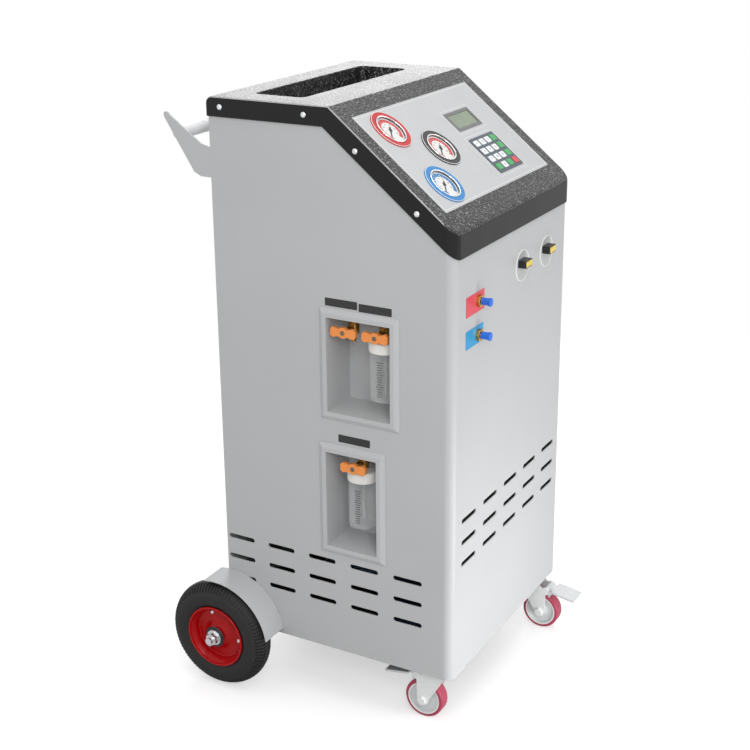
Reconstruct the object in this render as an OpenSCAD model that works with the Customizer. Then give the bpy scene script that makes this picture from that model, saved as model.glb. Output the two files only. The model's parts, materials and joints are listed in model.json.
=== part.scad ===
// Refrigerant recovery machine: a wheeled sheet-metal cabinet with a moulded control hood,
// two recessed oil bays, service ports, a push handle, two pneumatic wheels and two casters.
// The front faces -Y, the oil bays face -X and the floor is Z = 0.

/* [Cabinet] */
// Width of the sheet-metal cabinet
cab_w = 480; // [470:5:540]
// Depth of the cabinet from front to rear
cab_d = 470; // [460:5:540]
// Height of the cabinet's bottom edge above the floor
cab_z0 = 109; // [107:1:125]
// Thickness of the sheet metal
sheet_t = 2; // [1.5:0.25:3]
// Outer radius of the bent front corners
corner_r = 18; // [12:1:26]
// Height of the chassis plate above the cabinet's bottom edge
base_rise = 7; // [6:1:14]
// Thickness of the chassis plate
base_t = 3; // [2:0.5:5]
// Height of the chassis plate's upturned rim
base_rim_h = 25; // [15:1:40]

/* [Vent slots] */
// Width of one vent slot
slot_w = 9; // [6:0.5:12]
// Length of one vent slot between the centres of its round ends
slot_len = 48; // [40:1:56]
// Distance from slot to slot along a row
slot_pitch = 87.5; // [80:0.5:90]
// Distance from row to row
slot_row = 41; // [30:1:48]
// Slots in a row
slot_n = 5; // [3:1:5]
// Rows of slots
slot_rows = 3; // [1:1:3]
// Height of the top row of slots in the sides
side_slot_z = 287; // [270:1:292]
// Distance from the rear edge to the first side slot's centre
side_slot_back = 33; // [32:1:50]
// Height of the top row of slots in the front
front_slot_z = 405; // [300:1:600]

/* [Hood] */
// Height of the hood's flat top above the floor
top_z = 1112; // [1080:1:1160]
// Wall of the moulded hood
hood_t = 3; // [2.5:0.5:4]
// Depth of the skirt that laps over the cabinet
hood_skirt = 34; // [30:1:45]
// Height of sheet metal covered by the skirt
hood_lap = 20; // [12:1:24]
// Angle of the control slope from the horizontal
slope_a = 39; // [34:1:42]
// Distance of the crease behind the cabinet's front
crease_back = 230; // [225:1:245]
// Radius of the hood's rear top edge
hood_edge_r = 12; // [6:1:20]
// Radius of the hood's side top edges
hood_side_r = 6; // [3:0.5:10]
// Radius of the hood's edge between slope and front
hood_front_r = 9; // [4:0.5:14]
// Width of the tool tray in the hood's top
tray_w = 370; // [300:5:400]
// Front-to-rear size of the tool tray
tray_d = 100; // [70:5:110]
// Depth of the tool tray
tray_h = 40; // [20:1:55]
// Distance of the tray's rear wall from the cabinet's rear
tray_back = 57; // [40:1:70]
// Radius of the tray's corners
tray_r = 12; // [6:1:20]
// Radius of a hood screw's head
screw_r = 5; // [3.5:0.5:6]
// Height of a hood screw's head
screw_h = 3; // [2:0.5:4]

/* [Control panel] */
// Width of the fascia plate
fascia_w = 422; // [410:2:440]
// Length of the fascia plate down the slope
fascia_l = 224; // [222:2:240]
// Distance from the crease to the fascia's top edge
fascia_top = 33; // [25:1:40]
// Thickness of the fascia plate
fascia_t = 1.5; // [1:0.25:2]
// Radius of a gauge's coloured flange
gauge_flange_r = 41; // [38:0.5:42]
// Thickness of a gauge's coloured flange
gauge_flange_t = 4; // [3:0.5:6]
// Radius of a gauge's case behind the panel
gauge_case_r = 33; // [32:0.5:35]
// Length of a gauge's case behind the panel
gauge_case_l = 30; // [20:1:40]
// Radius of a gauge's chrome bezel
bezel_r = 31; // [29:0.5:31.5]
// Height of the bezel above the panel
bezel_h = 8; // [6:0.5:10]
// Width of the bezel's lip over the lens
bezel_lip = 4.5; // [3:0.5:6]
// Sideways distance of the outer gauges from the panel's middle
gauge_out_x = 143; // [140:1:155]
// Sideways distance of the middle gauge from the panel's middle
gauge_mid_x = 57; // [45:1:60]
// Distance from the crease to the top gauge's centre
gauge_top_s = 79; // [77:1:84]
// Distance down the slope from gauge to gauge
gauge_step_s = 65; // [60:1:68]
// Width of the display window
disp_w = 92; // [70:1:100]
// Height of the display window
disp_l = 42; // [30:1:50]
// Sideways distance of the display and the keypad from the panel's middle
disp_x = 88; // [84:1:110]
// Distance from the crease to the display's centre
disp_s = 107; // [95:1:112]
// Width of the keypad
key_w = 97; // [80:1:105]
// Height of the keypad
key_l = 84; // [70:1:90]
// Distance from the crease to the keypad's centre
key_s = 192; // [190:1:205]
// Keys along each side of the keypad
key_n = 4; // [3:1:5]

/* [Oil bays] */
// Width of the upper bay's opening
upper_w = 124; // [122:1:140]
// Height of the upper bay's opening
upper_h = 172; // [160:1:190]
// Height of the upper bay's centre
upper_z = 666; // [655:1:690]
// Distance of the upper bay's centre behind the cabinet's front
upper_back = 179; // [170:1:200]
// Width of the lower bay's opening
lower_w = 101; // [90:1:130]
// Height of the lower bay's opening
lower_h = 182; // [170:1:190]
// Height of the lower bay's centre
lower_z = 412; // [410:1:425]
// Distance of the lower bay's centre behind the cabinet's front
lower_back = 196; // [180:1:220]
// Depth of both bays
bay_depth = 75; // [74:1:90]
// Wall of the bay liners
liner_t = 2; // [1.5:0.5:3]
// Width of the raised frame round a bay
bay_border = 16; // [12:1:20]
// Height of the raised frame
bay_frame_h = 6; // [4:0.5:8]
// Distance of the valves' and bottles' axis inside the cabinet's side
valve_in = 40; // [39:0.5:42]
// Distance of a valve's axis below the bay's ceiling
valve_drop = 26; // [26:0.5:29]
// Distance of the filling valve behind the upper bay's centre
refill_dy = 33; // [30:1:35]
// Distance of the new-oil valve in front of the upper bay's centre
new_oil_dy = 29; // [28:1:31]
// Distance of a lid's top below its valve's axis
lid_drop = 12; // [11:0.5:15]
// Radius of a bottle's lid
lid_r = 29; // [28:0.5:29.5]
// Height of a bottle's lid
lid_h = 20; // [16:1:24]
// Radius of an oil bottle
bottle_r = 27.5; // [26:0.5:28]
// Length of an oil bottle below its lid
bottle_h = 91; // [80:1:95]
// Wall of an oil bottle
bottle_t = 1.5; // [1:0.25:2]
// Radius of an oil bottle's neck
neck_r = 25; // [22:0.5:25.5]
// Span of a valve's butterfly knob
knob_w = 50; // [44:1:50]
// Height of a butterfly knob's wings
knob_h = 19; // [16:1:22]
// Thickness of a butterfly knob
knob_t = 8; // [6:0.5:8]
// Radius of a valve's stem
stem_r = 4; // [3:0.25:5]

/* [Ports and buttons] */
// Distance of the service ports from the cabinet's left side
port_in = 90; // [70:1:100]
// Distance of the high-pressure port below the hood's front edge
high_port_drop = 91; // [85:1:100]
// Distance from the high-pressure port down to the low-pressure port
port_step = 60; // [50:1:70]
// Radius of a port's stub
port_r = 5; // [4:0.25:6]
// Length of a port's stub
port_l = 22; // [20:1:26]
// Radius of a dust cap
cap_r = 7.5; // [7:0.25:9]
// Length of a dust cap
cap_l = 17; // [14:0.5:18]
// Distance of the front push buttons below the hood's front edge
btn_drop = 70; // [55:1:90]
// Sideways distance of the middle of the button pair
btn_mid_x = 81; // [70:1:100]
// Distance between the two buttons
btn_gap = 108; // [90:1:120]
// Width of a button's housing
btn_w = 28; // [24:1:32]
// Height of a button's housing
btn_h = 14; // [12:0.5:18]
// Reach of a button's housing in front of the cabinet
btn_l = 15; // [12:0.5:20]
// Travel of a button
btn_travel = 3; // [2:0.5:4]
// Radius of the ring round a button
btn_ring_r = 29; // [25:0.5:32]

/* [Handle] */
// Distance of the handle tube below the hood's top
handle_drop = 69; // [62:1:90]
// Distance of the handle tube behind the cabinet
handle_back = 66; // [60:1:75]
// Reach of the handle plates behind the cabinet
handle_reach = 96; // [92:1:110]
// Radius of the handle tube
handle_r = 12; // [10:0.5:13]
// Wall of the handle tube
handle_t = 2; // [1.5:0.25:3]
// Thickness of the handle plates
bracket_t = 4; // [3:0.5:6]

/* [Rear wheels] */
// Radius of a tyre
tyre_r = 104; // [98:1:106]
// Width of a tyre
tyre_w = 54; // [46:1:56]
// Distance of a wheel's middle outside the cabinet's side
wheel_out = 41; // [40:0.5:50]
// Distance of the axle in front of the cabinet's rear
wheel_back = 8; // [6:1:30]
// Height of the rim's flange above the bead seat
rim_lip = 10; // [8:0.5:12]
// Radius of a wheel's hub
hub_r = 17; // [14:0.5:20]
// Radius of the rear axle
axle_r = 7; // [6:0.25:8]
// Radius of the mudguards' inside
guard_r = 110; // [108:1:116]
// Width of the mudguards
guard_w = 58; // [50:1:60]

/* [Casters] */
// Distance of the casters' pivots from the cabinet's sides
caster_in = 43; // [40:1:60]
// Distance of the caster pivots behind the cabinet's front
caster_back = 39; // [36:1:50]
// Distance of a caster's axle from its pivot
caster_trail = 31; // [28:1:34]
// Radius of a caster's wheel
caster_r = 37.5; // [36:0.5:38]
// Width of a caster's wheel
caster_w = 25; // [20:1:26]
// Thickness of a caster's tread
tread_t = 7; // [5:0.5:9]
// Reach of a brake pedal from the pivot
pedal_reach = 105; // [95:1:110]
// Width of a brake pedal
pedal_w = 44; // [36:1:48]

/* [Rear panel] */
// Height of the fan's centre
fan_z = 690; // [640:1:720]
// Radius of the fan's opening
fan_r = 100; // [90:1:105]
// Distance from slot to slot in the fan grille
grille_pitch = 16; // [14:0.5:18]
// Height of one slot in the fan grille
grille_w = 7; // [5:0.5:8]
// Distance of the mains inlet from the cabinet's right side
inlet_in = 90; // [70:1:120]
// Height of the mains inlet
inlet_z = 200; // [190:1:400]

/* [Hidden] */
$fn = 64;
// Overshoot of cuts, slack round fixed parts, running fits, and the gap between moving parts
over = 1;
slack = 0.2;
run = 0.05;
gap = 0.3;

// Places that follow from the sizes above; the part's box is centred front to rear
front_reach = pedal_reach - caster_back;
rear_reach = max(handle_reach, tyre_r - wheel_back);
cab_cy = (front_reach - rear_reach) / 2;
front_y = cab_cy - cab_d / 2;
rear_y = cab_cy + cab_d / 2;
side_x = cab_w / 2;
base_z = cab_z0 + base_rise;
floor_z = base_z + base_t;
crease_y = front_y + crease_back;
shell_top = hood_skirt - hood_lap;
hood_low = slope_z(front_y, hood_skirt);
high_port_z = hood_low - high_port_drop;
low_port_z = high_port_z - port_step;
port_x = side_x - port_in;
inlet_x = side_x - inlet_in;
btn_z = hood_low - btn_drop;
handle_z = top_z - handle_drop;
upper_y = front_y + upper_back;
lower_y = front_y + lower_back;
refill_y = upper_y + refill_dy;
new_oil_y = upper_y - new_oil_dy;
waste_y = lower_y;
valve_x = -side_x + valve_in;
upper_valve_z = upper_z + upper_h / 2 - valve_drop;
lower_valve_z = lower_z + lower_h / 2 - valve_drop;

// Hood screws: head, and places along the skirt and up the rear edges
screw_flat_r = 3;
screw_socket_r = 1.5;
screw_slope_drop = 22;
screw_slope_up = 50;
screw_slope_down = 163;
screw_rear_in = 26;
screw_crease_back = 47;
rear_screw_rise = 50;
rear_screw_drop = 159;
rear_screw_in = 25;

// Gauge stack: case pocket, dial, needle and lens; glue lies under what is stuck to the slope
glue = 0.05;
pocket_d = 4;
dial_t = 1;
dial_edge = 1.4;
dial_r = bezel_r - dial_edge;
bezel_soft = 1.5;
lens_edge = 2;
needle_t = 1.2;
needle_lift = 0.6;
pivot_r = 1.2;
lens_t = 2;
lens_r = bezel_r - lens_edge;
rest_dir = 225;
gauge_stub_r = 6;
gauge_stub_l = 14;

// Oil valve and its outlet
valve_body_r = 10;
valve_neck_r = 6;
dip_r = 3;
dip_end = 12;
lid_top_t = 3;
knob_x = -side_x + 1;
knob_boss_r = 10;
knob_waist = 5;
knob_cut = 4.5;
barb_r = 5;
barb_bite = 1.5;
barb_n = 3;
barb_l = 26;
lid_nut_r = 8;

// Service port
port_hex_r = 11;
port_hex_t = 7;
port_back = 20;
port_back_r = 7;
cap_gap = 1;
cap_step = 1;
cap_grip = 4;

// Push button housing
btn_wall = 1.7;
btn_ring_w = 2;
btn_ring_t = 1.5;
btn_stand = 1.5;
btn_ring_dx = 4;
btn_ring_dz = -6;

// Handle plate: root on the rear panel, heel, knee, tip and the neck behind the tube
root_top = -20;
root_low = -73;
heel = 22;
knee = [36, -66];
brow = [20, -15];
neck_in = 20;
neck_rise = 3;
tip_r = 5;
tip_z = 30;
chin = 3;

// Rear wheel
tube_r = tyre_w / 2;
seat_lift = 2;
ring_r = tyre_r - tube_r;
seat_r = tyre_r - tyre_w + seat_lift;
rim_r = seat_r + rim_lip;
rim_t = 3;
web_z = 3;
web_flat = 8;
web_run = 8;
web_dish = 9;
lip_z = sqrt(tube_r * tube_r - pow(ring_r - rim_r, 2)) + gap;
wheel_x = side_x + wheel_out;
axle_y = rear_y - wheel_back;
axle_z = tyre_r;
hub_half = 25;
sleeve_r = 11;
lug_t = 8;
lug_r = 13;
lug_in = 24;
nut_r = 12;
nut_t = 10;
washer_r = 15;
washer_t = 2.5;
axle_tail = 8;
groove_w = 3;
groove_d = 3;
groove_step = 9;
guard_t = 2;
guard_flange = 14;
guard_from = 77;
guard_to = 172;

// Caster
caster_x = side_x - caster_in;
caster_y = front_y + caster_back;
plate_w = 74;
plate_d = 62;
plate_t = 3;
race_r = 22;
race_h = 8;
race_taper = 4;
king_r = 5;
king_head_r = 8;
king_head_t = 4;
crown_t = 6;
crown_d = 44;
crown_step = 4;
leg_gap = 3;
leg_t = 3;
leg_r = 11;
hub_gap = 0.5;
leg_in = caster_w / 2 + leg_gap;
core_r = caster_r - tread_t;
core_step = 1;
core_rim = 3;
core_dish = 4;
bolt_r = 5;
bolt_head_r = 8;
bolt_head_t = 5;
crown_top = base_z - plate_t - race_h - gap;
crown_low = crown_top - crown_t;
brake_dy = 12;
brake_drop = 13;
brake_z = crown_low - brake_drop;
brake_r = 6;
brake_pin_r = 3;
brake_ear_r = 8;
pedal_t = 4;
pedal_low = 2;
pedal_drop = 8;
pedal_start = 15;
shoe_a = 30;
shoe_gap = 3.2;
shoe_t = 2;

// Machinery inside
shroud_w = 250;
shroud_d = 50;
shroud_t = 3;
coil_d = 40;
coil_fin_n = 12;
coil_back = 5;
motor_r = 30;
motor_l = 22;
spider_w = 12;
spider_t = 6;
fan_hub_r = 34;
fan_hub_t = 18;
fan_from_panel = 8;
fan_tip_gap = 8;
fan_blades = 5;
fan_pitch = 35;
fan_blade_t = 2;
fan_chord = 24;
fan_root = 6;
fan_y = rear_y - sheet_t - fan_from_panel - fan_hub_t;
shaft_r = 4;
comp_r = 70;
comp_h = 190;
comp_dome = 30;
comp_foot_r = 10;
comp_foot_in = 14;
comp_foot_h = 14;
comp_foot_up = 20;
comp_side = 20;
comp_x = side_x - comp_side - comp_r;
comp_back = 115;
pump_w = 90;
pump_d = 120;
pump_h = 110;
pump_motor_r = 42;
pump_motor_l = 80;
pump_side = 21;
pump_x = -side_x + pump_side + pump_motor_l + pump_w / 2 - over;
pump_back = 110;
drier_r = 34;
drier_h = 210;
drier_dome = 16;
drier_stub_r = 6;
drier_stub_l = 20;
drier_side = 14;
drier_x = side_x - drier_side - drier_r;
drier_dy = 110;
tank_r = 105;
tank_h = 380;
tank_t = 4;
tank_edge = 45;
tank_foot_r = 80;
tank_foot_h = 12;
tank_tap_r = 16;
tank_tap_h = 34;
tank_gap = 13;
tank_x = drier_x - drier_r - tank_gap - tank_r;
tank_dy = 60;
scale_w = 200;
scale_h = 30;
scale_foot_r = 14;
manifold_w = 90;
manifold_d = 40;
manifold_h = 130;
coil_stub_r = 12;
coil_stub_l = 28;
disp_back = 14;
disp_rim = 6;
key_film = 1;
key_pad_h = 0.8;
key_edge = 3.5;
key_gap = 6;
board_w = 200;
board_l = 110;
board_t = 1.6;
board_depth = 44;
board_x = 95;
board_s = 150;
post_r = 4;
inlet_w = 34;
inlet_l = 62;
inlet_t = 3;
inlet_d = 28;
inlet_step = 4;
socket_w = 24;
socket_h = 16;
socket_d = 18;
socket_dz = -14;
pin_w = 2;
pin_h = 5;
pin_l = 14;
socket_pins = [[-7, -2], [7, -2], [0, 3]];
rocker_w = 14;
rocker_h = 22;
rocker_dz = 15;
rocker_pin = 4;
rocker_low = 4.5;
rocker_r = 1.5;
rocker_tilt = 10;
rocker_room = 1.5;

// Height of a line that runs inside the hood's outline at distance o, and that line's crease
function slope_z(y, o) = top_z - (crease_y - y) * tan(slope_a) - o / cos(slope_a);
function crease_at(o) = crease_y + o * tan(slope_a / 2);

// Extrudes a YZ outline along X, about the middle plane
module along_x(w) {
    rotate([90, 0, 90]) linear_extrude(w, center = true) children();
}

// Stands a piece on the control slope: local Z leaves the panel and local Y runs up it
module on_slope(x, s) {
    translate([x, crease_y - s * cos(slope_a), top_z - s * sin(slope_a)]) rotate([slope_a, 0, 0]) children();
}

// Rectangle with round corners, centred
module round_rect(w, d, r) {
    square([w - 2 * r, d], center = true);
    square([w, d - 2 * r], center = true);
    for (sx = [-1, 1], sy = [-1, 1]) translate([sx * (w / 2 - r), sy * (d / 2 - r)]) circle(r);
}

// Slot with round ends along the local X axis
module slot(len, w) {
    square([len, w], center = true);
    for (s = [-1, 1]) translate([s * len / 2, 0]) circle(d = w);
}

// The cabinet's plan with round front corners, moved inwards all round
module plan(inset, rear_inset) {
    r = corner_r - inset;
    w = cab_w - 2 * inset;
    y0 = front_y + inset;
    y1 = rear_y - rear_inset;
    translate([-w / 2, y0 + r]) square([w, y1 - y0 - r]);
    translate([-w / 2 + r, y0]) square([w - 2 * r, 2 * r]);
    for (s = [-1, 1]) translate([s * (w / 2 - r), y0 + r]) circle(r);
}

// Everything below the hood's outline at distance o, down to height z0
module under_hood(o, z0) {
    y0 = front_y - 2 * hood_t;
    y1 = rear_y + 2 * hood_t;
    along_x(2 * cab_w) polygon([
        [y1, top_z - o], [crease_at(o), top_z - o], [y0, slope_z(y0, o)], [y0, z0], [y1, z0]
    ]);
}

// Grid of vent slots, centred on the middle slot of the top row
module slot_field() {
    for (i = [0 : slot_n - 1], j = [0 : slot_rows - 1])
        translate([(i - (slot_n - 1) / 2) * slot_pitch, -j * slot_row]) slot(slot_len, slot_w);
}

module chassis_base() {
    color("dimgray") difference() {
        union() {
            translate([0, 0, base_z]) linear_extrude(base_t) plan(sheet_t, sheet_t);
            translate([0, 0, base_z]) linear_extrude(base_rim_h) difference() {
                plan(sheet_t, sheet_t);
                plan(sheet_t + base_t, sheet_t + base_t);
            }
            for (s = [-1, 1]) translate([s * (side_x - lug_in), 0, 0]) along_x(lug_t) {
                translate([axle_y, axle_z]) circle(lug_r);
                translate([axle_y - lug_r, axle_z])
                    square([min(2 * lug_r, lug_r + wheel_back - sheet_t), base_z - axle_z + over]);
            }
        }
        translate([0, axle_y, axle_z]) rotate([0, 90, 0]) cylinder(r = axle_r + run, h = cab_w, center = true);
    }
}

module cabinet_shell() {
    side_mid = rear_y - side_slot_back - (slot_n - 1) / 2 * slot_pitch;
    color("lightgray") difference() {
        intersection() {
            translate([0, 0, cab_z0]) linear_extrude(top_z) difference() {
                plan(0, 0);
                plan(sheet_t, -over);
            }
            under_hood(shell_top, 0);
        }
        translate([0, side_mid, side_slot_z]) along_x(2 * cab_w) slot_field();
        translate([0, front_y + corner_r, front_slot_z]) rotate([90, 0, 0])
            linear_extrude(2 * corner_r) slot_field();
        bay_cut(upper_y, upper_z, upper_w, upper_h);
        bay_cut(lower_y, lower_z, lower_w, lower_h);
        for (z = [high_port_z, low_port_z]) translate([-port_x, front_y + corner_r, z])
            rotate([90, 0, 0]) cylinder(r = port_back_r + slack, h = 2 * corner_r);
        for (s = [-1, 1]) translate([btn_mid_x + s * btn_gap / 2, front_y, btn_z])
            cube([btn_w - 2 * btn_wall, 2 * corner_r, btn_h - 2 * btn_wall], center = true);
        translate([0, axle_y, axle_z]) rotate([0, 90, 0])
            cylinder(r = sleeve_r + slack, h = cab_w + over, center = true);
    }
}

// Hole in the left side for one bay's liner
module bay_cut(y, z, w, h) {
    translate([-side_x - over, y - w / 2 - liner_t, z - h / 2 - liner_t])
        cube([sheet_t + 2 * over, w + 2 * liner_t, h + 2 * liner_t]);
}

module rear_panel() {
    w = cab_w - 2 * sheet_t;
    grille_n = floor((fan_r - grille_w) / grille_pitch);
    color("lightgray") difference() {
        translate([-w / 2, rear_y - sheet_t, base_z]) cube([w, sheet_t, top_z - shell_top - base_z]);
        translate([0, rear_y + over, fan_z]) rotate([90, 0, 0]) linear_extrude(sheet_t + 2 * over)
            for (i = [-grille_n : grille_n]) let (h = i * grille_pitch)
                translate([0, h]) slot(2 * sqrt(fan_r * fan_r - h * h) - 2 * grille_w, grille_w);
        translate([inlet_x, rear_y, inlet_z])
            cube([inlet_w - inlet_step, 3 * sheet_t, inlet_l - inlet_step], center = true);
    }
}

module top_hood() {
    tray_y = rear_y - tray_back - tray_d / 2;
    color("#2b2b2b") difference() {
        union() {
            difference() {
                intersection() {
                    linear_extrude(top_z) plan(-hood_t, -hood_t);
                    under_hood(0, 0);
                }
                intersection() {
                    linear_extrude(top_z) plan(0, 0);
                    under_hood(hood_t, 0);
                }
                under_hood(hood_skirt, -over);
                translate([0, rear_y + hood_t - hood_edge_r, top_z - hood_edge_r])
                    along_x(2 * cab_w) edge_cut(hood_edge_r);
                hood_side_edges();
                hood_front_edge();
            }
            translate([0, tray_y, top_z - tray_h - hood_t]) linear_extrude(tray_h + hood_t / 2)
                round_rect(tray_w + 2 * hood_t, tray_d + 2 * hood_t, tray_r + hood_t);
        }
        translate([0, tray_y, top_z - tray_h]) linear_extrude(tray_h + over) round_rect(tray_w, tray_d, tray_r);
        on_slope(0, fascia_top + fascia_l / 2) translate([0, 0, -fascia_t])
            linear_extrude(hood_t) square([fascia_w + 2 * slack, fascia_l + 2 * slack], center = true);
        panel_cuts(hood_t + over);
    }
}

// What a rounding takes off a square corner
module edge_cut(r) {
    difference() {
        square(r + over);
        circle(r);
    }
}

// Rounding of the hood's side top edges, along the flat top and down the slope
module hood_side_edges() {
    x = side_x + hood_t - hood_side_r;
    for (s = [0, 1]) mirror([s, 0, 0]) {
        translate([x, crease_y, top_z - hood_side_r]) rotate([90, 0, 0])
            linear_extrude(2 * cab_d, center = true) edge_cut(hood_side_r);
        on_slope(x, 0) translate([0, 0, -hood_side_r]) rotate([90, 0, 0])
            linear_extrude(2 * cab_d, center = true) edge_cut(hood_side_r);
    }
}

// Rounding of the hood's edge between slope and front, tangent to both
module hood_front_edge() {
    y = front_y - hood_t;
    z = slope_z(y, 0);
    reach = hood_front_r * tan((90 - slope_a) / 2);
    on_top = [y + reach * cos(slope_a), z + reach * sin(slope_a)];
    along_x(2 * cab_w) difference() {
        polygon([
            [y, z - reach], [y - over, z - reach], [y - over, z + over], [on_top[0], on_top[1] + over], on_top
        ]);
        translate([y + hood_front_r, z - reach]) circle(hood_front_r);
    }
}

// Gauge holes and display window through the slope
module panel_cuts(depth) {
    for (at = [[-gauge_out_x, gauge_top_s], [-gauge_mid_x, gauge_top_s + gauge_step_s],
               [-gauge_out_x, gauge_top_s + 2 * gauge_step_s]])
        on_slope(at[0], at[1]) translate([0, 0, -depth]) cylinder(r = gauge_case_r + slack, h = depth + over);
    on_slope(disp_x, disp_s) translate([0, 0, -depth]) linear_extrude(depth + over)
        square([disp_w + 2 * slack, disp_l + 2 * slack], center = true);
}

module control_fascia() {
    color("silver") difference() {
        on_slope(0, fascia_top + fascia_l / 2) translate([0, 0, -fascia_t])
            linear_extrude(fascia_t) square([fascia_w, fascia_l], center = true);
        panel_cuts(fascia_t + over);
    }
}

// Pan head with a recess, standing on local Z = 0
module pan_screw() {
    difference() {
        union() {
            cylinder(r = screw_r, h = screw_h / 2);
            translate([0, 0, screw_h / 2]) cylinder(r1 = screw_r, r2 = screw_flat_r, h = screw_h / 2);
        }
        translate([0, 0, screw_h / 2]) cylinder(r = screw_socket_r, h = screw_h);
    }
}

module casing_screws() {
    mid_z = top_z - hood_skirt / 2;
    spots = [
        [rear_y - screw_rear_in, mid_z], [crease_y + screw_crease_back, mid_z],
        for (d = [screw_slope_up, screw_slope_down]) [crease_y - d, slope_z(crease_y - d, screw_slope_drop)]
    ];
    color("white") {
        for (s = [-1, 1], p = spots)
            translate([s * (side_x + hood_t), p[0], p[1]]) rotate([0, s * 90, 0]) pan_screw();
        for (s = [-1, 1], z = [base_z + rear_screw_rise, top_z - rear_screw_drop])
            translate([s * (side_x - rear_screw_in), rear_y, z]) rotate([-90, 0, 0]) pan_screw();
    }
}

// Liner with a raised, chamfered frame that stands on the cabinet's left side
module recess(y, z, w, h) {
    translate([-side_x, y, z]) difference() {
        union() {
            translate([0, -w / 2 - liner_t, -h / 2 - liner_t])
                cube([bay_depth + liner_t, w + 2 * liner_t, h + 2 * liner_t]);
            hull() {
                translate([-over / 2, 0, 0])
                    cube([over, w + 2 * bay_border, h + 2 * bay_border], center = true);
                translate([-bay_frame_h + over / 2, 0, 0])
                    cube([over, w + bay_border, h + bay_border], center = true);
            }
        }
        translate([-2 * bay_frame_h, -w / 2, -h / 2]) cube([bay_depth + 2 * bay_frame_h, w, h]);
    }
}

module bay_liners() {
    color("lightgray") {
        recess(upper_y, upper_z, upper_w, upper_h);
        recess(lower_y, lower_z, lower_w, lower_h);
    }
}

// Two plates with feet on the rear panel and a tube welded between them
module push_handle() {
    tip = [handle_reach - tip_r, tip_z];
    color("lightgray") difference() {
        union() {
            for (s = [-1, 1]) {
                translate([s * (side_x - bracket_t / 2), rear_y, handle_z]) along_x(bracket_t) {
                    polygon([
                        [0, root_low], [heel, root_low], knee, [tip[0] + tip_r, tip[1] - chin],
                        [tip[0], tip[1] + tip_r], [handle_back - neck_in, neck_rise], brow, [0, root_top]
                    ]);
                    translate(tip) circle(tip_r);
                    translate([handle_back, 0]) circle(handle_r);
                }
                translate([s * (side_x - heel / 2), rear_y + bracket_t / 2, handle_z])
                    translate([0, 0, (root_top + root_low) / 2])
                        cube([heel, bracket_t, root_top - root_low], center = true);
            }
            translate([0, rear_y + handle_back, handle_z]) rotate([0, 90, 0])
                cylinder(r = handle_r, h = cab_w - bracket_t, center = true);
        }
        translate([0, rear_y + handle_back, handle_z]) rotate([0, 90, 0])
            cylinder(r = handle_r - handle_t, h = cab_w - 2 * bracket_t, center = true);
    }
}

// Curved sheet over each rear wheel with a flange against the cabinet's side
module mudguards() {
    color("lightgray") for (s = [0, 1]) mirror([s, 0, 0])
        translate([-side_x, axle_y, axle_z]) rotate([0, -90, 0]) rotate([0, 0, 90 - guard_to])
            rotate_extrude(angle = guard_to - guard_from) {
                translate([guard_r, 0]) square([guard_t, guard_w]);
                translate([guard_r + guard_t - guard_flange, 0]) square([guard_flange, guard_t]);
            }
}

module rear_axle() {
    sleeve_x = side_x - lug_in + lug_t / 2;
    hub_in = wheel_x - hub_half - gap;
    end = wheel_x + hub_half + gap + washer_t + nut_t + axle_tail;
    color("silver") translate([0, axle_y, axle_z]) rotate([0, 90, 0]) {
        cylinder(r = axle_r, h = 2 * end, center = true);
        for (s = [0, 1]) mirror([0, 0, s]) translate([0, 0, sleeve_x])
            cylinder(r = sleeve_r, h = hub_in - sleeve_x);
    }
}

module axle_nuts() {
    color("silver") for (s = [-1, 1]) translate([s * (wheel_x + hub_half + gap), axle_y, axle_z])
        rotate([0, s * 90, 0]) difference() {
            union() {
                cylinder(r = washer_r, h = washer_t);
                cylinder(r = nut_r, h = washer_t + nut_t, $fn = 6);
            }
            translate([0, 0, -over]) cylinder(r = axle_r, h = nut_t + washer_t + 2 * over);
        }
}

// Left wheel sits at side = -1, and local Z points away from the cabinet
module at_wheel(side) {
    translate([side * wheel_x, axle_y, axle_z]) rotate([0, side * 90, 0]) children();
}

// Pressed steel rim with a dished web
module rim(side) {
    flat_r = hub_r + web_flat;
    dish_r = flat_r + web_run;
    low = web_z - web_dish;
    color("#b51218") at_wheel(side) rotate_extrude() {
        translate([axle_r + run, -hub_half]) square([hub_r - axle_r - run, 2 * hub_half]);
        polygon([
            [hub_r - over, web_z], [flat_r, web_z], [dish_r, low], [seat_r - over, low],
            [seat_r - over, low + rim_t], [dish_r + over, low + rim_t],
            [flat_r + over, web_z + rim_t], [hub_r - over, web_z + rim_t]
        ]);
        translate([seat_r - rim_t, -lip_z - rim_t]) square([rim_t, 2 * (lip_z + rim_t)]);
        for (s = [-1, 1]) translate([seat_r - over, s * (lip_z + rim_t / 2) - rim_t / 2])
            square([rim_lip + over - rim_t / 2, rim_t]);
        for (s = [-1, 1]) translate([rim_r - rim_t / 2, s * (lip_z + rim_t / 2)]) circle(rim_t / 2);
    }
}

// Round tyre with grooves round its tread and a flat seat on the rim
module tyre(side) {
    color("#202020") at_wheel(side) difference() {
        rotate_extrude() difference() {
            translate([ring_r, 0]) circle(tube_r);
            for (i = [-1 : 1]) translate([tyre_r - groove_d, i * groove_step - groove_w / 2])
                square([groove_d + over, groove_w]);
        }
        cylinder(r = seat_r, h = tyre_w, center = true);
    }
}

// Left caster trails to the rear, right caster to the front
module at_caster(side) {
    translate([side * caster_x, caster_y, 0]) rotate([0, 0, side > 0 ? 180 : 0]) children();
}

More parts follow.
